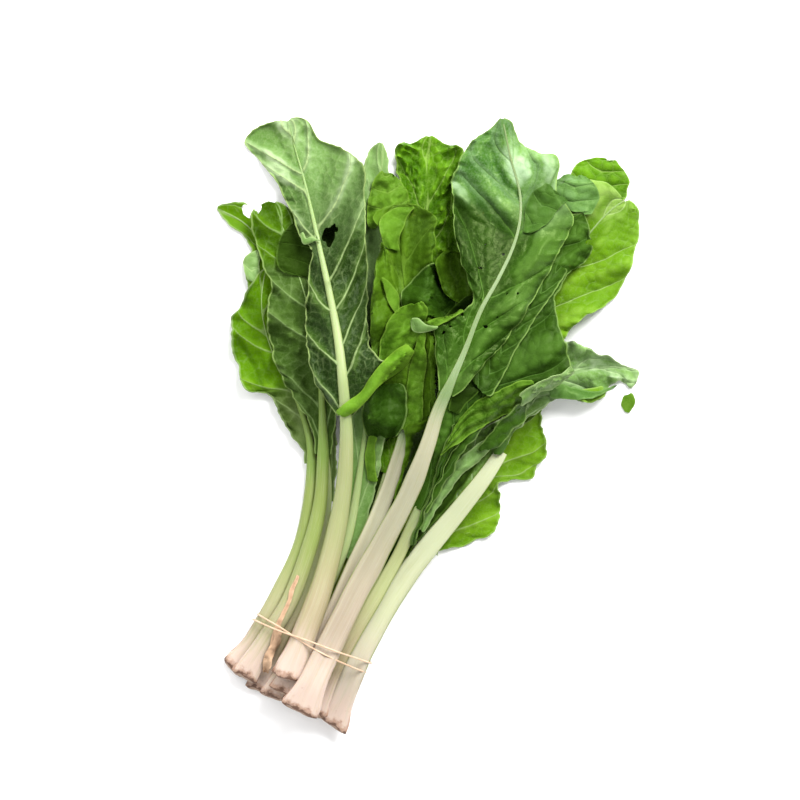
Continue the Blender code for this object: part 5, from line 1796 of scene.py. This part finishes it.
FLAPS = (
    Flap("left_lobe", PALE, after="leaf_far_left", seed=55, roll=0.8, relief=Relief(bulge=0.8, frill=0.8,
        scallop=0.6, laterals=2), veins=True,
        left=((-116.3, 61.4), (-122.2, 68.1), (-122.5, 76.9), (-116.6, 83.2)),
        right=((-108.5, 62.8), (-111.3, 68.2), (-113, 74.6), (-111.8, 80.4))),
    Flap("back_lobe", CRUMPLED, after="leaf_low_right", seed=30, relief=Relief(bulge=1.5, frill=1.4,
        scallop=1.1, laterals=3), veins=True,
        left=((72.1, 169.3), (71.6, 181.5), (73.3, 192.9), (80.6, 198.9), (91.4, 201.8)),
        right=((113.6, 177.7), (112.2, 185.5), (111.1, 192.1), (105.4, 198), (98.5, 201))),
    Flap("green_sheath", SHEATH, after="leaf_back_right", seed=45, roll=1,
        left=((15.9, -125.9), (22.2, -88), (26.4, -52.7), (31.3, -25.4)),
        right=((26.8, -125.7), (33.5, -89.7), (38.6, -57.6), (43.2, -33.9))),
    Flap("green_sheath_low", SHEATH, after="leaf_back_right", seed=46, roll=1,
        left=((8.8, -157.9), (13.1, -130.7), (19.3, -97.7)),
        right=((13.9, -159.2), (18.9, -131.9), (25.1, -98.8))),
    # A dark sheet in the hollow under the folds, coloured with painted shade.
    Flap("fold_hollow", PAINTED_SHADE, after="leaf_dark_left", seed=31, lift=0.3, veins=True,
        left=((-97.9, 71.8), (-103.2, 81.3), (-104, 92.1), (-100.7, 105.2)),
        right=((-49.1, 76), (-53.1, 90.7), (-59.7, 105.3), (-75.6, 118.8))),
    Flap("fold_crown", SPRING, after="leaf_middle", seed=56, roll=0.8, relief=pleated(1, 0.8),
        left=((-34.8, 106.5), (-39.4, 113.5), (-42, 121), (-38.6, 128.7), (-31.9, 133.9)),
        right=((-25.4, 104.9), (-26.9, 112.7), (-26.4, 121.1), (-24.6, 129.7), (-21.5, 136))),
    Flap("fold_back", INNER, after="leaf_middle", seed=33, relief=pleated(2, 1),
        left=((-14.9, 70.8), (-15.5, 83), (-8, 95.9), (-0.8, 104.7)),
        right=((15.8, 68.1), (19.2, 75.9), (20.4, 81.7), (15.5, 89.9))),
    Flap("fold_dark_right", MIDDLE, after="leaf_middle", seed=32, lift=1.6, roll=0.6, relief=pleated(2, 1.2),
        left=((23, 82.4), (12, 87.6), (4.2, 96.4), (0.5, 105), (2.1, 111.6), (8.6, 115.4)),
        right=((40.9, 81.7), (35.6, 91.2), (30.3, 100.7), (24, 109.3), (18.4, 114.6), (12.5, 116.4))),
    # A dark sliver in the gap between the folds: painted shade.
    Flap("fold_gap", PAINTED_SHADE, after="leaf_middle", seed=57, lift=0.8,
        left=((14.7, 62.4), (16.1, 72.3), (20.6, 81), (25.4, 88.5)),
        right=((22.1, 60.2), (26, 70.9), (30, 81.5), (33.1, 90.5))),
    Flap("fold_strip", MIDDLE, after="leaf_middle", seed=34, lift=1.2, roll=1, relief=Relief(bulge=0.6,
        pucker=1.4, cell=4, crumple=1.6, crumple_size=12, frill=1.4, frill_length=9, scallop=1.2, pleats=2,
        pleat=0.9),
        left=((-18.8, 16.5), (-22.9, 31.8), (-28.7, 50.7), (-34.9, 76.4), (-37.8, 94.8), (-37.3, 108.6)),
        right=((-6, 35), (-11, 48.6), (-14.7, 64.7), (-20.2, 80.3), (-26.2, 92.4), (-31.8, 103.2))),
    Flap("fold_lip", SPRING, after="leaf_middle", seed=48, lift=2, roll=0.8,
        left=((-31, 85), (-24.4, 83.3), (-17.9, 76.9), (-14.3, 68.3)),
        right=((-28.7, 81.5), (-25.2, 73.5), (-20.3, 68), (-15.1, 63.9))),
    Flap("fold_front", SPRING, after="leaf_middle", seed=35, lift=2.2, roll=1.6, relief=pleated(2.5, 0.8),
        left=((-17.9, 20.8), (-20.5, 40.6), (-20.2, 57.1), (-15.4, 67.3), (-9.8, 72.2)),
        right=((-2.6, 40), (1.4, 50.6), (4.4, 62.3), (3.3, 71.6), (-1.4, 76.5))),
    Flap("fold_low", SPRING, after="leaf_middle", seed=36, lift=2.4, roll=2.2, relief=pleated(0.6, 1),
        left=((8.2, -7.7), (4.2, 17.2), (1.9, 38.5), (2.6, 56.4)),
        right=((19.6, -4.6), (15.1, 20.1), (10.9, 40.8), (5.8, 57.2))),
    Flap("fold_low_side", MIDDLE, after="leaf_middle", seed=47, lift=2, roll=1.6, relief=pleated(0.8, 1),
        left=((23.5, -3.6), (20.2, 16), (15.1, 35.2), (9, 55.4)),
        right=((33.3, 3.1), (30.9, 22.3), (24.5, 41.1), (15.2, 60.4))),
    Flap("inner_strip", MIDDLE, after="leaf_middle", seed=53, lift=0.8, roll=0.8, relief=pleated(2, 0.9),
        left=((13.7, -54), (14.1, -34.8), (12.2, -20.3), (9, -3.4)),
        right=((19.2, -54), (22.3, -32.6), (26.2, -16.5), (24.9, 3.6))),
    Flap("fold_bottom", INNER, after="leaf_middle", seed=39, lift=1.4, roll=1.6, relief=pleated(2, 1.4),
        left=((-14.1, -19.1), (-19.7, -8.3), (-20.9, 3.6), (-17.2, 15.6)),
        right=((6.2, -13), (8.4, -0.8), (6.2, 12.3), (0.6, 23.1))),
    Flap("fold_side", SPRING, after="leaf_middle", seed=58, roll=0.8,
        left=((-5.3, -46.8), (-10.6, -34.6), (-12.7, -24.2), (-11.9, -17.2)),
        right=((0.5, -45.3), (-4.2, -32.9), (-6.6, -24), (-6.4, -17.1))),
    Flap("scrap_low", BRIGHT, after="leaf_right", seed=43, lift=0.8,
        left=((109.4, 45.4), (116.5, 49.3), (128.1, 54.5)),
        right=((114.6, 41.3), (124, 41.8), (132.4, 48.8))),
    Flap("scrap_loose", SPRING, after="leaf_right", seed=44, lift=0.5,
        left=((144.5, 52.1), (144.6, 46.6), (148.5, 42.2)),
        right=((148.9, 56), (152.5, 50.1), (151.2, 42.2))),
    # A dark ruffle coloured with painted shade.
    Flap("ruffle_low", PAINTED_SHADE, after="leaf_right", seed=59, roll=0.6, relief=Relief(bulge=0.6, crumple=1.4,
        crumple_size=12, frill=1.2, frill_length=16, scallop=1, pleats=2, pleat=1),
        left=((29, -85.5), (35, -59.3), (43.7, -35.8), (53.9, -12.5), (63.4, 3)),
        right=((32.4, -88), (40.5, -67.4), (51.1, -45.4), (60.5, -19.6), (68.9, -2.4))),
    Flap("ruffle_under", PALE, after="leaf_right", seed=60, lift=2.2, roll=1.2, relief=Relief(bulge=0.6,
        crumple=2, crumple_size=14, frill=2, frill_length=16, scallop=1.3, pleats=1.2, pleat=1.2),
        left=((33.8, -67.8), (36.8, -43.1), (44.9, -22.5), (58.8, -3), (78.5, 18)),
        right=((39.9, -70.3), (44.2, -47.9), (52.5, -27.9), (64.5, -9), (81.6, 14))),
    Flap("stalk_end_curl", SIDE, after="leaf_right", seed=41, lift=1.4, roll=1.4,
        left=((70.3, -7.5), (70.8, -1.9), (73, 2.8)),
        right=((75.5, -6.7), (76.9, -1.6), (77.6, 3.4))),
    Flap("ruffle_dark", INNER, after="leaf_inner_right", seed=62, lift=1.2, roll=0.6,
        relief=Relief(laterals=6, bulge=0.8, crumple=1.8, crumple_size=11, frill=1.8, scallop=1.3, pleats=2.5,
        pleat=1.6),
        left=((31, -80.2), (34.4, -51.9), (37.2, -21.8), (38.5, 3.8)),
        right=((34.8, -79.1), (37.1, -51.9), (41.7, -23.3), (47, 2.7))),
    Flap("ruffle_mid", SPRING, after="leaf_inner_right", seed=63, lift=2.6, roll=1.6, relief=Relief(bulge=0.6,
        crumple=2, crumple_size=16, frill=1.8, frill_length=18, scallop=1.3, pleats=2.4, pleat=1.6),
        left=((38.5, -6.4), (41.3, 8.7), (46.9, 18.4), (54.6, 28), (67.4, 38.9), (81.7, 46.8)),
        right=((36.5, -19.2), (45.3, -6), (54.9, 4.1), (64.6, 13.6), (75.3, 24.6), (86.7, 33.2))),
    Flap("ruffle_lobe", INNER, after="leaf_inner_right", seed=64, lift=2.2, roll=0.8,
        relief=Relief(laterals=3, bulge=1, crumple=1.6, crumple_size=12, frill_length=12, scallop=1.1),
        left=((59.4, -7.7), (65.5, 10.4), (72, 21.7), (78.3, 28.8)),
        right=((71.5, -1.7), (78.9, 11.2), (83.6, 19.3), (84.1, 27.7))),
    Flap("wavy_margin", PALE, after="leaf_inner_right", seed=54, lift=2.2, roll=0.8, relief=Relief(laterals=3,
        bulge=0.8, crumple=2.4, crumple_size=13, frill=2.4, frill_length=16, scallop=1.3, pleats=1,
        pleat=0.8), veins=True,
        left=((74.7, 34.7), (82.9, 42.4), (94.1, 51.5), (104.2, 62.4)),
        right=((79.7, 28.6), (87.1, 36.7), (98.3, 45.8), (107.3, 58.5))),
    # A dark sliver in the gap beside the inner folds: painted shade.
    Flap("inner_gap", PAINTED_SHADE, after="leaf_inner_right", seed=65, lift=0.6,
        left=((32.8, 12.6), (33.4, 23), (37.9, 31.7)),
        right=((40.5, 11.9), (44.8, 21.2), (50.4, 30.9))),
    Flap("inner_fold", INNER, after="leaf_inner_right", seed=66, lift=2, roll=0.8, relief=Relief(laterals=6,
        bulge=1.4, crumple=1.2, crumple_size=18, frill=1, scallop=0.8), veins=True,
        left=((42.3, 35.6), (50.4, 61.7), (59.7, 88.1), (68.6, 111), (73.8, 124.7)),
        right=((58.2, 27.5), (65.9, 59.7), (74.4, 89.3), (82.2, 108.5), (86.3, 123.9))),
    Flap("sheath_fill", SHEATH, after="leaf_back_right", seed=71, lift=0.2,
        left=((-17.5, -174.5), (-13.6, -143.4), (-10.2, -115.1), (-9, -84)),
        right=((-4.8, -171.1), (0.4, -139.6), (5.1, -111), (7.6, -79.6))),
    # A dark sheet filling the recess between the stalks: painted shade.
    Flap("recess", PAINTED_SHADE, after="leaf_back_right", seed=68, lift=0.3,
        left=((0.4, -108.9), (-3.5, -79.2), (-6.5, -52.6), (-15, -20.7)),
        right=((23.4, -102.7), (23.3, -72), (22.9, -44.8), (15.2, -5.8))),
    Flap("back_fold", SPRING, after="leaf_pale_tip", seed=69, lift=0.8, roll=0.6, relief=Relief(laterals=3,
        bulge=1, pucker=1, cell=4, crumple=3, crumple_size=9, frill=1.4, scallop=1.2), veins=True,
        left=((-49.9, 114.7), (-53.1, 131.7), (-53, 144), (-49.9, 153)),
        right=((-24.9, 128.3), (-28, 142.5), (-34.4, 151), (-42.9, 154.9))),
    Flap("tip_under", LOBE, after="leaf_right", seed=70, lift=0.3, roll=0.3, relief=Relief(bulge=0.4,
        crumple=1.4, crumple_size=10, frill=1.2),
        left=((94.1, 44), (103.7, 48.6), (118, 49), (129.5, 52.1), (138, 58.5)),
        right=((96.2, 38.4), (104.9, 39.4), (117, 42.6), (127.8, 48.3), (137.4, 55.6))),
    Flap("front_roll", ROLL, after="leaf_front_left", seed=40, lift=3, roll=3.4, relief=Relief(bulge=0.2,
        pucker=0.25, crumple=0.5, crumple_size=14, frill=0.4, scallop=0.5),
        left=((-37.8, -7), (-33, 0.4), (-26, 7.7), (-21.3, 20.6), (-15.3, 33.8), (-9.5, 42.9), (-4, 47.8)),
        right=((-32.1, -10.3), (-25.5, -4.4), (-19.9, 5.3), (-14.7, 16.2), (-7.9, 24.2), (-1.5, 33.4),
        (2.5, 44.1))),
    Flap("side_lobe", LOBE, after="leaf_inner_right", seed=67, corner=0.05, lift=1.2, roll=0.8,
        relief=Relief(laterals=3, bulge=1.4, crumple=1.2, crumple_size=12, frill=1), veins=True,
        left=((61.1, 159.5), (61.2, 169.1), (63, 177.8), (68, 184.6)),
        right=((91.7, 162.3), (94.6, 171.9), (91.1, 179.9), (81.3, 186.1))),
    Flap("side_flap", SIDE, after="leaf_front_right", seed=50, corner=0.02, lift=0.5, roll=0.1,
        relief=Relief(laterals=3, bulge=1.4, crumple=1.4, crumple_size=12, frill=1, scallop=0.8), veins=True,
        left=((51, 138.4), (50.1, 147), (49.1, 155.6), (49.9, 165.4), (57.8, 174.4)),
        right=((55.6, 138.9), (61.8, 144), (66.5, 152.1), (71, 160.8), (75.2, 168.1))),
    Flap("fold_ledge", SPRING, after="leaf_front_right", seed=38, roll=0.6,
        left=((3.4, 63.5), (11.3, 69.7), (19.6, 74.6), (24.3, 80)),
        right=((8.1, 61.3), (14.9, 66.5), (20.9, 72.2), (26.2, 77.8))),
    Flap("fold_curl", PALE, after="leaf_front_right", seed=37, lift=1.6, roll=1.2, relief=Relief(bulge=0.2,
        crumple_size=8, frill=0.4, scallop=0.5),
        left=((-5.2, 62.5), (-2.4, 57.1), (3.7, 57.4), (12.7, 61.8)),
        right=((-4.4, 64.8), (-0.6, 65.8), (5.5, 63.3), (12.9, 63.9))),
    Flap("withered_strip", WITHERED, after="leaf_front_left", seed=42, lift=0.2, roll=0.1,
        relief=Relief(bulge=0.1, pucker=0.3, cell=3, crumple_size=6, frill=0.5, frill_length=6),
        left=((-40.2, -176.5), (-40.5, -160.1), (-37.6, -140.2), (-35.1, -119.1)),
        right=((-37.2, -177.7), (-37, -160.6), (-34.8, -140.8), (-33.7, -119.4))),
    Flap("withered_tuft", WITHERED, after="leaf_front_left", seed=51, lift=0.6, roll=0.4,
        relief=Relief(bulge=0.2, pucker=0.5, cell=2.6, crumple=1.2, crumple_size=5, frill=0.8, frill_length=5,
        scallop=1.5),
        left=((-39.6, -186.5), (-40.9, -176.6), (-39.4, -166.7), (-39.9, -157.3)),
        right=((-35.3, -187.4), (-36.1, -176.7), (-34.8, -166.1), (-36.1, -156.2))),
    Flap("front_lip", PALE, after="leaf_front_left", seed=52, lift=1.4, roll=0.8,
        left=((-91.6, 99.5), (-87.5, 94.4), (-83.7, 95.4), (-79.1, 98.7)),
        right=((-89.4, 101.4), (-86.5, 98.1), (-83.6, 100.2), (-77, 98.6))),
)

VIEW_MIDDLE = (0.0003, 0.0109)


def main() -> None:
    """Lays the leaves from the lowest up, each with its folded parts, adds the band and sets the studio."""
    logging.basicConfig(level=logging.INFO, format="%(message)s")
    pile = Pile()
    for leaf in LEAVES:
        maker = LeafMaker(leaf, pile)
        maker.blade()
        maker.stalk()
        for flap in FLAPS:
            if flap.after == leaf.name:
                flap.build(pile)
    Band().build()
    Studio(middle=VIEW_MIDDLE).build()


if __name__ == "__main__":
    main()
